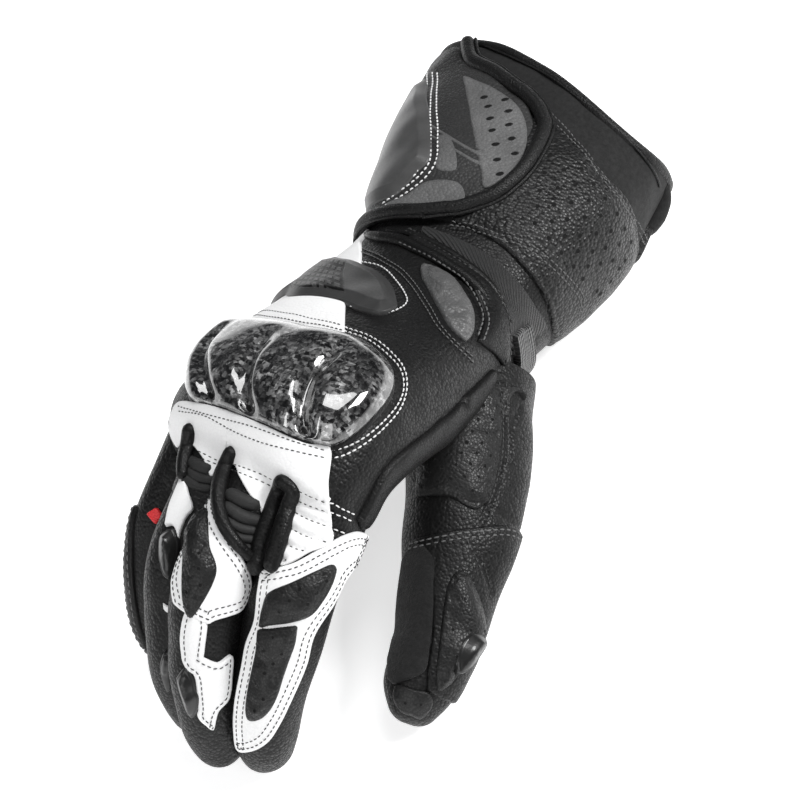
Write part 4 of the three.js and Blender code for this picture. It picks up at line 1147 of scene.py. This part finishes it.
def carbon(name):
    """Chopped carbon under clear lacquer: small flat flakes, each with its own sheen"""
    m = Nodes(name)
    flakes = []
    for size, stretch in ((1.9, (1.0, 1.5, 1.3)), (1.2, (1.4, 1.0, 1.2))):
        inputs = {"Vector": m.stretched(stretch), "Scale": 1000 / size}
        cell = m.node("ShaderNodeTexVoronoi", inputs, distance="CHEBYCHEV")
        flakes.append(m.node("ShaderNodeSeparateColor", {0: cell.outputs["Color"]}).outputs[0])
    tone = m.math("POWER", m.add(m.times(flakes[0], 0.6), m.times(flakes[1], 0.4)), 2.6)
    tone = m.times(tone, m.ranged(m.noise(9.0, 2.0), 0.34, 0.66, 0.25, 1.5))
    colour = m.mix(m.math("MINIMUM", tone, 1.0), grey(0.001), grey(0.42))
    normal = m.bump(m.noise(6.0, 2.0), 0.12, 0.5)
    return m.finish(colour, m.ranged(flakes[1], 0.0, 1.0, 0.22, 0.36), normal, Metallic=0.3,
                    Specular_IOR_Level=0.1, Coat_Weight=1.0, Coat_Roughness=0.03, Coat_IOR=1.85)


def yarn(name, tone):
    m = Nodes(name)
    strand = m.noise(0.35, 2.0, stretch=(1, 1, 2.5))
    colour = m.mix(m.ranged(strand, 0.3, 0.7), grey(tone * 0.8), grey(tone * 1.1))
    return m.finish(colour, m.ranged(strand, 0.3, 0.7, 0.5, 0.6), m.bump(strand, 0.05))


def woven_red(name):
    m = Nodes(name)
    ribs = m.math("SINE", m.times(m.place(0), 9.0))
    fuzz = m.noise(0.4)
    colour = m.mix(m.ranged(fuzz, 0.3, 0.7), (0.52, 0.008, 0.012, 1), (0.72, 0.02, 0.025, 1))
    return m.finish(colour, m.ranged(fuzz, 0.3, 0.7, 0.5, 0.62), m.bump(m.add(ribs, fuzz), 0.06))


BLACK = leather("black_leather", 0.005, 0.36, pebble=1.15, depth=0.1)
SMOOTH_BLACK = leather("smooth_black_leather", 0.004, 0.34, pebble=0.9, depth=0.05)
PUNCHED = leather("punched_black_leather", 0.006, 0.33, pebble=1.4, depth=0.2, shine=0.35)
PAD_BLACK = leather("pad_leather", 0.008, 0.36, pebble=1.0, depth=0.07, shine=0.3)
WHITE = leather("white_leather", 0.81, 0.5, pebble=1.0, depth=0.03, fine=0.01, vary=0.015, lines=0.06)
FLAP_BLACK = leather("flap_leather", 0.025, 0.4, pebble=1.2, depth=0.1, shine=0.3)
FLAP_GREY = leather("flap_grey_leather", 0.11, 0.42, pebble=1.2, depth=0.1, shine=0.3)
PAD_GREY = leather("crescent_leather", 0.085, 0.34, pebble=1.2, depth=0.1, shine=0.5)
NEOPRENE = nap("neoprene", 0.002, size=0.5, depth=0.07, sheen=0.03)
SUEDE = nap("suede", 0.002, size=1.1, depth=0.5, sheen=0.1)
STRETCH = cloth("stretch_fabric", 0.005, 0.7, 0.9, depth=0.1, sheen=0.06)
TWILL = cloth("twill", 0.005, 0.62, 0.95, depth=0.16, sheen=0.08)
WEBBING = cloth("webbing", 0.006, 0.55, 1.5, depth=0.3, ribs=True)
RUBBER = leather("rubber_trim", 0.004, 0.36, pebble=0.7, depth=0.08, shine=0.3)
STRIP = leather("strip_trim", 0.004, 0.4, pebble=0.8, depth=0.06)
PLASTIC = plastic("dark_plastic", 0.06, 0.34)
GRID_PLASTIC = plastic("grid_plastic", 0.036, 0.45, grid=True)
SLIDER = plastic("slider_plastic", 0.012, 0.34, coat=0.2)
# Painted shade: the near-black finish of the discs that stand in for the insides of the punched holes
HOLE_SHADE = plastic("painted_hole_shade", 0.001, 0.9)
CARBON = carbon("carbon_shell")
TAG = woven_red("red_tag")
THREAD_TONES = {"white": 0.75, "grey": 0.1, "black": 0.02, "dark": 0.03}
THREAD_FINISH = {colour: yarn("thread_" + colour, tone) for colour, tone in THREAD_TONES.items()}


# Creases and soft rolls in the leather: a line of places, its width, height and taper
def crease(surface, places, width, height, taper):
    CREASES.append((bare(surface, places[:, 0], places[:, 1]), width, height, taper))


THUMB_HOLLOW = np.array([(0.5, -46), (1.4, -46), (2.2, -46), (3.0, -46)])
THUMB_JOINT = np.array([(1.98, -60), (1.98, -20), (1.98, 20), (1.98, 60), (1.98, 90)])
for line in WEB_ROWS:
    crease("web", seen("web", line, 0.0), 0.9, -0.45, 0.15)
for line in THUMB_SEAMS:
    crease("thumb", seen("thumb", line, 1.5), 0.9, -0.9, 0.1)
for line in INDEX_RIBS:
    crease("web", seen("web", line, 0.0), 1.1, -1.1, 0.2)
crease("thumb", THUMB_HOLLOW, 8.0, 1.6, 0.3)
crease("thumb", THUMB_JOINT, 1.3, -0.9, 0.1)


def drawn(places, step=0.04):
    """Smooth closed outline through places written as a station and an angle"""
    return smooth(places, step, True)


def rows_beside(surface, line, distances, colour, lift, kind):
    for distance in distances:
        stitches(surface, beside(surface, line, distance), colour, lift, kind)


def hem(surface, outline, distances, colour, lift, kind=FINE):
    """Rows of stitches inside a closed outline"""
    for distance in distances:
        row = inset(surface, even(outline, surface, 1.0, True), distance)
        stitches(surface, row, colour, lift, kind, closed=True)


def overlay(name, surface, outline, low, top, grooves, rows, lift):
    """White leather with a groove and a row of stitches along its border"""
    panel(name, surface, outline, WHITE, low=low, top=top, edge=0.6, grooves=grooves, depth=0.2, grid=1.2)
    hem(surface, outline, rows, "black", lift)


def punched_pad(name, surface, outline, pitch, margin, radius, turn, **shape):
    perforate(panel(name, surface, outline, PAD_BLACK, **shape), surface, pitch, margin, radius, turn)


# A bevelled plate has a foot, a slope and a flat top, with rings of points where it bends
BEVEL_RINGS = (0.3, 0.6, 0.8, 1.0)
FOOT_WIDTH = 0.6
SLOPE_START = 0.8


def plate(name, surface, outline, finish, foot, slope, top, rings, low, grid=0.9):
    def lift(gap, ground):
        rise = foot * np.clip(gap / FOOT_WIDTH, 0, 1) ** 0.5
        return rise + (top - foot) * np.clip((gap - SLOPE_START) / slope, 0, 1)

    panel(name, surface, outline, finish, low=low, rings=BEVEL_RINGS + rings, lift=lift, grid=grid)


# Cuff and hand
shell("cuff_shell", "body", 3.02, steps=90, sides=200, finish=NEOPRENE, back=-2.0)
shell("hand_shell", "body", 7.9, steps=190, sides=230, finish=BLACK, start=3.0, tip=0.45, drop=8.0)

RIM_BACK = -0.09
rim = [bare("body", RIM_BACK, float(d), -1.0) for d in np.linspace(0, 360, 60, endpoint=False)]
bar("cuff_binding", rim, 2.2, RUBBER, closed=True)
rim_seam = seen("body", RIM_SEAM, 0.5)[::4]
bar("rim_cord", [bare("body", u, d, 0.35) for u, d in rim_seam], 0.5, RUBBER, (), sides=8)

FLAP = [
    (0.12, 127), (0.4, 119), (0.55, 103), (0.75, 92), (1.05, 84), (1.43, 80), (1.9, 79), (2.3, 81), (2.7, 90),
    (2.9, 101), (2.99, 114), (3.06, 132), (3.08, 150), (3.06, 184), (2.0, 189), (1.0, 189), (0.42, 182),
    (0.22, 150),
]
FLAP_EDGE = [
    (0.04, 122), (0.4, 114), (0.55, 98.5), (0.76, 87.5), (1.05, 80), (1.43, 76), (1.9, 75), (2.3, 77),
    (2.7, 85), (2.98, 96), (3.1, 112), (3.18, 130), (3.2, 152), (3.18, 176),
]
flap = panel("cuff_flap", "body", drawn(FLAP, 0.05), FLAP_BLACK, low=0.3, top=2.2, edge=1.2, crown=0.5,
             reach=10, grid=1.7)
flap_edge = smooth(FLAP_EDGE, 0.05)
bar("flap_piping", [bare("body", u, d, 2.6) for u, d in flap_edge[::3]], 2.75, RUBBER, sides=18)
welt = beside("body", flap_edge, 3.1)
bar("flap_welt", [bare("body", u, d, 2.75) for u, d in welt[::3]], 0.7, RUBBER, (), sides=8)
for name, line in FLAP_GREYS.items():
    panel("flap_grey_" + name, "body", seen("body", line, 3.0, True), FLAP_GREY, (), low=3.05, top=0.12,
          edge=0.4, rings=(0.4, 1.2), skirt=0.5, grid=1.7)
holes("body", seen("body", FLAP_HOLES, 3.1, curve=False), 0.75, 3.17, long=1.45, direction=RIGHT)
for line in FLAP_BANDS:
    stitches("body", seen("body", line, 3.0), "white", flap, FLAP_SEAM)

CUFF_GUARD = [
    (0.8, 141), (1.2, 128), (1.58, 116), (2.18, 106), (2.4, 110), (2.7, 117), (2.8, 130), (2.8, 148),
    (2.7, 160), (2.4, 174), (2.18, 176), (1.58, 174), (1.2, 170), (0.8, 152),
]
plate("cuff_guard", "body", drawn(CUFF_GUARD), PLASTIC, foot=1.0, slope=3.2, top=2.4,
      rings=(2.4, 3.9, 4.1, 4.7), low=2.5, grid=1.2)

# Panels around the wrist side of the cuff
PERFORATED_PANEL = [
    (1.1, 69), (1.28, 56), (1.42, 42), (1.42, 20), (1.42, 0), (1.42, -20), (1.42, -44), (1.42, -44),
    (2.2, -44), (3.02, -44), (3.02, -44), (3.1, -20), (3.14, 0), (3.12, 42), (3.08, 56), (3.04, 72),
    (3.0, 88), (3.0, 88), (2.0, 92), (1.0, 82), (1.0, 82), (1.02, 75),
]
wrap = panel("perforated_panel", "body", drawn(PERFORATED_PANEL, 0.05), PUNCHED, top=1.5, crown=1.0, reach=9,
             grooves=(2.2,), depth=0.35, grid=1.7)
holes("body", seen("body", PANEL_HOLES, 2.4, curve=False), 0.8, wrap)
for line in PANEL_ROWS:
    rows_beside("body", seen("body", line, 1.6), (-0.9, 0.9), "grey", wrap, PANEL_SEAM)

TWILL_PANEL = [
    (3.28, 12), (3.28, 40), (3.26, 55), (3.24, 68), (3.22, 84), (3.22, 96), (3.22, 96), (3.4, 94), (3.5, 84),
    (3.84, 68), (3.98, 55), (4.16, 40), (4.34, 12), (4.36, -4), (4.36, -4), (3.9, -4), (3.2, -4), (3.2, -4),
]
panel("twill_panel", "body", drawn(TWILL_PANEL), TWILL, top=0.8, crown=0.8, reach=10, grid=1.7)
for name, line, size in (("upper", ROLL_UPPER, 1.7), ("lower", ROLL_LOWER, 2.3)):
    points = [at("body", u, d, 0.4) for u, d in seen("body", line, 1.0)[::4]]
    bar("wrist_roll_" + name, points, [0.8, size, size, size, size, 0.8], SMOOTH_BLACK, ())

WRIST_STRAP = [
    (3.6, -100), (3.58, -75), (3.55, -50), (3.52, -20), (3.5, 8), (3.5, 8), (3.9, 9), (4.34, 8), (4.34, 8),
    (4.32, -20), (4.3, -50), (4.28, -75), (4.26, -100), (4.26, -100), (3.9, -101),
]
panel("wrist_strap", "body", drawn(WRIST_STRAP), WEBBING, top=2.6, edge=0.9, grid=1.6)

band_outer = seen("body", BAND_OUTER, 1.2)
band_inner = seen("body", BAND_INNER, 1.2)
panel("crescent_band", "body", np.vstack([band_outer, band_inner[::-1]]), SMOOTH_BLACK, top=1.3, crown=1.0,
      reach=5)
rows_beside("body", band_outer, (-1.4, -3.0), "dark", 1.6, SEAM)
rows_beside("body", band_inner, (1.2, -1.2), "grey", 1.5, SEAM)
panel("crescent_pad", "body", seen("body", CRESCENT_PAD, 1.8, True), PAD_GREY, top=1.4, edge=1.2, crown=2.2,
      reach=6, pad=0.7)

CUFF_TAB = [
    (0.85, -54), (0.85, -54), (1.45, -50), (1.45, -50), (1.45, -18), (1.45, -18), (0.85, -16), (0.85, -16),
]
panel("cuff_tab", "body", drawn(CUFF_TAB), RUBBER, top=2.6, edge=1.2)

CUFF_FOLD = [(0.05, -8, -0.6), (0.2, -14, 0.2), (0.45, -19, 0.8), (0.75, -22, 0.6), (1.05, -23, -0.8)]
bar("cuff_fold", [bare("body", u, d, lift) for u, d, lift in CUFF_FOLD], (2.0, 3.0, 3.4, 3.0, 2.0), NEOPRENE,
    (), sides=20)

# White leather and the plate on the back of the hand
WHITE_UPPER_BACK = [(6.35, 130), (6.3, 160), (5.4, 172), (4.2, 172), (3.42, 165), (3.36, 140)]
UPPER_GUARD_BACK = [(5.3, 150), (5.25, 162), (4.3, 162), (4.15, 150)]
white_front = seen("body", GUARD_TOP[:5], 1.4)[::-1]
white_upper = np.vstack([seen("body", WHITE_UPPER_EDGE, 1.4), white_front, WHITE_UPPER_BACK])
panel("white_upper_panel", "body", white_upper, WHITE, top=1.1, edge=0.5, crown=0.3, grid=1.8)
plate("upper_guard", "body", np.vstack([seen("body", UPPER_GUARD, 3.0), UPPER_GUARD_BACK]), GRID_PLASTIC,
      foot=1.2, slope=3.6, top=3.0, rings=(2.6, 4.3, 4.5, 5.1), low=0.6, grid=1.2)
stitches("body", seen("body", GUARD_LOOP, 1.0), "white", 0.55, LOOP_SEAM)
holes("body", seen("body", HAND_HOLES, 0.5, curve=False), 0.5, 0.12)
for line in WHITE_ROWS:
    stitches("body", seen("body", line, 1.4), "grey", 1.45)
rows_beside("body", seen("body", CRESCENT_ROW, 0.5), (0.0, -1.6), "grey", 0.3, CRESCENT_SEAM)

# Knuckle guard: four humps over the knuckles, with valleys between them, in a leather frame
GUARD_BACK = [(7.3, 122), (7.1, 131), (6.85, 135), (6.6, 133), (6.4, 129)]
GUARD_RIM = 1.3
RIM_WIDTH = 0.7
HUMP_HEIGHT = 4.4
HUMP_REACH = 9.5
VALLEY_DEPTH = 4.2
VALLEY_WIDTH = 2.3
VALLEY_EDGE = 2.5
valleys = [tube_point("body", *seen("body", line, 4.0).T, 0) for line in VALLEYS]
guard_front = np.vstack([seen("body", GUARD_TOP, 2.0), seen("body", GUARD_FOOT, 2.0)])
knuckle_outline = drawn(np.vstack([guard_front[::6], GUARD_BACK]), 0.05)


def knuckle_lift(gap, ground):
    dome = HUMP_HEIGHT * (1 - (1 - np.clip(gap / HUMP_REACH, 0, 1)) ** 2.0)
    valley = np.zeros(len(gap))
    for line in valleys:
        d, along = path_distance(ground, line)
        fade = (1 - 0.8 * along**1.5) * np.clip((1 - along) * 4, 0, 1)
        valley = np.maximum(valley, np.exp(-((d / VALLEY_WIDTH) ** 2)) * fade)
    rim = GUARD_RIM * np.clip(gap / RIM_WIDTH, 0, 1) ** 0.5
    return rim + dome - VALLEY_DEPTH * valley * np.clip(gap / VALLEY_EDGE, 0, 1)


bezel = inset("body", even(knuckle_outline, "body", 1.0, True), -1.5)
panel("knuckle_bezel", "body", bezel, SMOOTH_BLACK, top=1.2, edge=0.8, crown=0.5, reach=2)
panel("knuckle_guard", "body", knuckle_outline, CARBON, low=1.6, lift=knuckle_lift, grid=0.9, spacing=0.7)
for line in GUARD_ROWS:
    stitches("body", seen("body", line, 0.4), "white", 0.35, GUARD_SEAM)
SIDE_STRIP = [
    (5.02, -4), (5.1, 2), (5.4, 1), (5.8, 0), (6.25, -2), (6.55, -3), (7.23, -2), (7.65, -2), (7.85, -6),
    (7.88, -20), (7.65, -25), (7.23, -28), (6.55, -33), (6.25, -34), (5.8, -30), (5.4, -22), (5.15, -12),
]
panel("side_strip", "body", drawn(SIDE_STRIP), STRIP, top=1.9, edge=1.5, crown=0.3, reach=4)

# Fingers and thumb
for finger, end in (("index", 5.45), ("middle", 5.25), ("ring", 5.55), ("little", 5.6)):
    nodes = [finger + "_finger", finger + "_fingertip"]
    shell(finger + "_finger", finger, end, steps=130, sides=72, finish=BLACK, nodes=nodes, tip=0.35)
shell("thumb", "thumb", 5.75, steps=130, sides=96, finish=BLACK, nodes=["thumb_base", "thumb_end"], tip=0.3)

# The web over the knuckle end of the hand
WEB_SKIN = [
    (-47, -72), (-47, -72), (-30, -63), (0, -66), (14, -63), (22, -60), (22, -60), (23, -80), (22, -92),
    (20, -98), (20, -98), (14, -101), (2, -101), (-20, -94), (-38, -86), (-47, -80), (-47, -80),
]
panel("web_skin", "web", drawn(WEB_SKIN, 0.6), BLACK, (), low=-0.4, top=0.9, edge=3.0, rings=(1.0, 2.0),
      grid=1.2)
panel("white_knuckle_panel", "web", seen("web", WHITE_KNUCKLE, 1.0, True, step=1.5), WHITE,
      ["white_knuckle_panel", "index_gathers"], low=0.9, top=0.8, edge=0.3, grid=1.0)

# The rows at the finger roots change thread where the white leather ends, at this pixel column
WHITE_ENDS = 330
FEWEST = 3
for line in KNUCKLE_ROWS:
    stitches("web", seen("web", line, 1.4), "dark", 1.72)
for line in WEB_ROWS + INDEX_RIBS:
    row = seen("web", line, 1.0)
    white = project(bare("web", row[:, 0], row[:, 1], 1.0))[:, 0] < WHITE_ENDS
    if white.sum() > FEWEST:
        stitches("web", row[white], "dark", 1.72)
    if (~white).sum() > FEWEST:
        stitches("web", row[~white], "white", 0.55, RIB_SEAM)

# Padded ribs at two finger roots, one between each pair of fold lines
FOLD_POINTS = 14
FOLD_FILL = 1.05
WIDEST_FOLD = 2.3
for name, lines in (("middle_gathers", MIDDLE_FOLDS), ("ring_gathers", RING_FOLDS)):
    rows = [seen("web", line, 1.0) for line in lines]
    rows = [row[np.linspace(0, len(row) - 1, FOLD_POINTS).astype(int)] for row in rows]
    for k, (p, q) in enumerate(zip(rows[:-1], rows[1:])):
        points = [at("web", x, y, 0.3) for x, y in (p + q) / 2]
        width = np.linalg.norm(bare("web", *p.T) - bare("web", *q.T), axis=1) / 2
        bar("%s_%d" % (name, k + 1), points, np.minimum(width * FOLD_FILL, WIDEST_FOLD), STRETCH,
            () if k else [name], flat=0.8)
for name, line, sizes in (
    ("index_loop", INDEX_LOOP, (3.0, 2.9, 2.8, 2.7, 2.5, 2.3, 2.2, 2.3, 2.5, 2.7, 2.8, 2.7, 2.6)),
    ("middle_loop", MIDDLE_LOOP, (2.4, 2.7, 2.5, 2.2, 2.1, 2.0, 1.7)),
    ("ring_loop", RING_LOOP, (2.4, 2.5, 2.2, 1.8)),
):
    points = [bare("web", x, y, 2.2) for x, y in seen("web", line, 2.4, curve=False)]
    bar(name, points, sizes, SMOOTH_BLACK, sides=20, step=0.45)


# Index finger
overlay("index_overlay", "index", seen("index", INDEX_OVERLAY, 2.0, True), low=0.5, top=1.3,
        grooves=(2.0, 3.6), rows=(1.6, 3.4), lift=1.75)
for name, line in (("index_upper_pad", INDEX_UPPER_PAD), ("index_lower_pad", INDEX_LOWER_PAD)):
    punched_pad(name, "index", seen("index", line, 4.0, True), pitch=4.2, margin=2.2, radius=0.5, turn=20,
                low=1.2, top=1.6, edge=1.4, crown=1.5, reach=5, pad=0.7)

# Middle finger
MIDDLE_OVERLAY_BACK = [(2.3, 110), (2.1, 130), (1.8, 146), (1.3, 148), (1.05, 144)]
middle_overlay = np.vstack([seen("middle", MIDDLE_OVERLAY, 2.0), MIDDLE_OVERLAY_BACK])
overlay("middle_overlay", "middle", middle_overlay, low=0.3, top=1.3, grooves=(1.8, 3.4), rows=(1.5, 3.3),
        lift=1.55)
punched_pad("middle_pad", "middle", seen("middle", MIDDLE_PAD, 4.0, True), pitch=4.3, margin=2.2, radius=0.5,
            turn=40, low=1.0, top=1.6, edge=1.4, crown=2.0, reach=6, pad=0.8)
MIDDLE_LOWER_OVERLAY = [
    (2.42, 92), (2.5, 56), (2.78, 58), (3.02, 60), (3.02, 60), (3.12, 40), (3.2, 12), (3.6, 14), (3.85, 18),
    (4.08, 38), (4.4, 50), (4.3, 60), (4.08, 71), (3.9, 68), (3.55, 69), (3.25, 84), (3.0, 92), (2.7, 94),
]
overlay("middle_lower_overlay", "middle", drawn(MIDDLE_LOWER_OVERLAY), low=0.2, top=1.2, grooves=(1.8,),
        rows=(1.6,), lift=1.35)
plate("middle_slider", "middle", seen("middle", MIDDLE_SLIDER, 4.0, True), SLIDER, foot=1.4, slope=2.0,
      top=3.8, rings=(1.8, 2.7, 2.9), low=0.6)

# Ring and little finger
panel("ring_overlay", "ring", seen("ring", RING_OVERLAY, 1.5, True), WHITE, low=0.3, top=1.2, edge=0.5)
panel("ring_stripe", "ring", seen("ring", RING_STRIPE, 1.0, True), WHITE, (), low=0.2, top=0.5, edge=0.3)
for name, line in (("ring_knuckle_slider", KNUCKLE_SLIDER), ("ring_tip_slider", TIP_SLIDER)):
    plate(name, "ring", seen("ring", line, 4.0, True), SLIDER, foot=1.6, slope=2.4, top=4.6,
          rings=(2.0, 3.1, 3.3), low=0.6)
LITTLE_RIDGE = [
    (2.3, 118), (3.3, 106), (4.5, 93), (5.2, 92), (5.3, 106), (5.2, 120), (4.5, 138), (3.3, 146), (2.3, 140),
    (2.15, 129),
]
panel("little_ridge", "little", drawn(LITTLE_RIDGE), SMOOTH_BLACK, top=1.2, crown=0.6, reach=4)
hem("little", drawn(LITTLE_RIDGE), (1.5,), "grey", 1.3, RIDGE_SEAM)
panel("red_tag", "little", seen("little", RED_TAG, 1.2, True), TAG, low=1.2, top=0.9, edge=0.3)

# Thumb
THUMB_GUSSET = [
    (0.4, -14), (1.05, 8), (1.7, 8), (1.95, 12), (1.97, 50), (1.95, 88), (1.95, 88), (1.7, 88), (1.05, 80),
    (0.4, 60), (0.3, 40), (0.3, 10),
]
THUMB_CAP_BACK = [
    (2.4, -50), (3.0, -52), (4.5, -50), (5.0, -40), (5.05, 0), (5.0, 30), (4.5, 40), (3.4, 46), (2.9, 50),
    (2.55, 60), (2.42, 80),
]
THUMB_SUEDE_BACK = [(5.0, 100), (4.5, 112), (3.0, 114), (2.5, 104), (2.4, 85)]
THUMB_TIP_PATCH = [
    (5.06, 20), (5.06, 50), (5.06, 84), (5.06, 84), (5.35, 88), (5.7, 72), (5.75, 40), (5.7, 14), (5.35, 8),
]
punched_pad("thumb_gusset", "thumb", drawn(THUMB_GUSSET), pitch=4.4, margin=2.4, radius=0.5, turn=15, top=1.2,
            crown=1.2, reach=10, grid=1.6, pad=0.4, swell=0.5)
cap_edge = seen("thumb", THUMB_CAP_EDGE, 1.5)
panel("thumb_cap", "thumb", np.vstack([cap_edge, THUMB_CAP_BACK]), BLACK, low=0.2, top=1.2, crown=0.4)
rows_beside("thumb", cap_edge, (-1.6, -3.2), "grey", 1.4, SEAM)
for line in THUMB_SEAMS[::2]:
    rows_beside("thumb", seen("thumb", line, 1.8), (-1.1, 1.1), "dark", 1.6, THUMB_SEAM)
punched_pad("thumb_pad", "thumb", seen("thumb", THUMB_PAD, 3.0, True), pitch=4.4, margin=2.2, radius=0.45,
            turn=15, low=0.9, top=1.6, edge=1.2, crown=1.8, reach=6, pad=0.6, swell=0.6)
thumb_suede = np.vstack([seen("thumb", THUMB_SUEDE, 1.2), THUMB_SUEDE_BACK])
panel("thumb_suede", "thumb", thumb_suede, SUEDE, low=0.3, top=1.2, grid=1.2)
punched_pad("thumb_tip_patch", "thumb", drawn(THUMB_TIP_PATCH), pitch=4.4, margin=2.0, radius=0.45, turn=15,
            low=0.2, top=1.1, crown=0.5)
plate("thumb_slider", "thumb", seen("thumb", THUMB_SLIDER, 6.0, True), SLIDER, foot=1.8, slope=2.5, top=4.2,
      rings=(2.0, 3.2, 3.4), low=3.0)

sew()
punch()

# Floor, light and camera
FLOOR_HALF = 6
FLOOR_DROP = 0.0004
corners = [(x * FLOOR_HALF, y * FLOOR_HALF, 0) for x, y in ((-1, -1), (1, -1), (1, 1), (-1, 1))]
floor_mesh = bpy.data.meshes.new("floor")
floor_mesh.from_pydata(corners, [], [(0, 1, 2, 3)])
floor = bpy.data.objects.new("floor", floor_mesh)
bpy.context.scene.collection.objects.link(floor)
floor.location.z = -FLOOR_DROP
paper = Nodes("paper_floor")
fibre = paper.noise(3.0)
floor_mesh.materials.append(paper.finish(
    paper.mix(paper.ranged(fibre, 0.3, 0.7), grey(0.93), grey(0.95)), 0.85, paper.bump(fibre, 0.02),
    Emission_Color=(1, 1, 1, 1), Emission_Strength=0.62))

world = bpy.data.worlds.new("studio")
bpy.context.scene.world = world
world.use_nodes = True
sky = world.node_tree.nodes["Background"].inputs
sky["Color"].default_value = (0.9, 0.93, 1.0, 1)
sky["Strength"].default_value = 0.08


def softbox(name, direction, distance, size, power):
    lamp = bpy.data.lights.new(name, "AREA")
    lamp.shape = "RECTANGLE"
    lamp.size, lamp.size_y = size
    lamp.energy = power
    obj = bpy.data.objects.new(name, lamp)
    away = unit(direction)
    obj.location = Vector(away * distance)
    obj.rotation_mode = "QUATERNION"
    obj.rotation_quaternion = Vector(-away).to_track_quat("-Z", "Y")
    bpy.context.scene.collection.objects.link(obj)


softbox("key", RIGHT * 0.9 + UPWARD * 0.8 - FORWARD * 0.9, 1.1, (0.35, 0.3), 10.0)
softbox("front", -RIGHT * 0.35 - UPWARD * 0.4 - FORWARD * 1.0, 1.2, (0.9, 0.9), 6.5)
softbox("strip", -RIGHT * 1.1 - FORWARD * 0.7, 1.2, (0.12, 0.8), 2.0)
softbox("top", UPWARD * 1.0 - FORWARD * 0.65, 1.2, (0.9, 0.4), 8.0)

lens = bpy.data.cameras.new("camera")
lens.lens = LENS
lens.sensor_width = SENSOR
lens.clip_start = 0.01
camera = bpy.data.objects.new("camera", lens)
bpy.context.scene.collection.objects.link(camera)
bpy.context.scene.camera = camera
axes = Matrix(np.stack([RIGHT, UPWARD, -FORWARD], 1).tolist())
camera.matrix_world = Matrix.Translation(Vector(EYE * MM)) @ axes.to_4x4()
bpy.context.scene.view_settings.view_transform = "Standard"
bpy.context.scene.view_settings.look = "None"
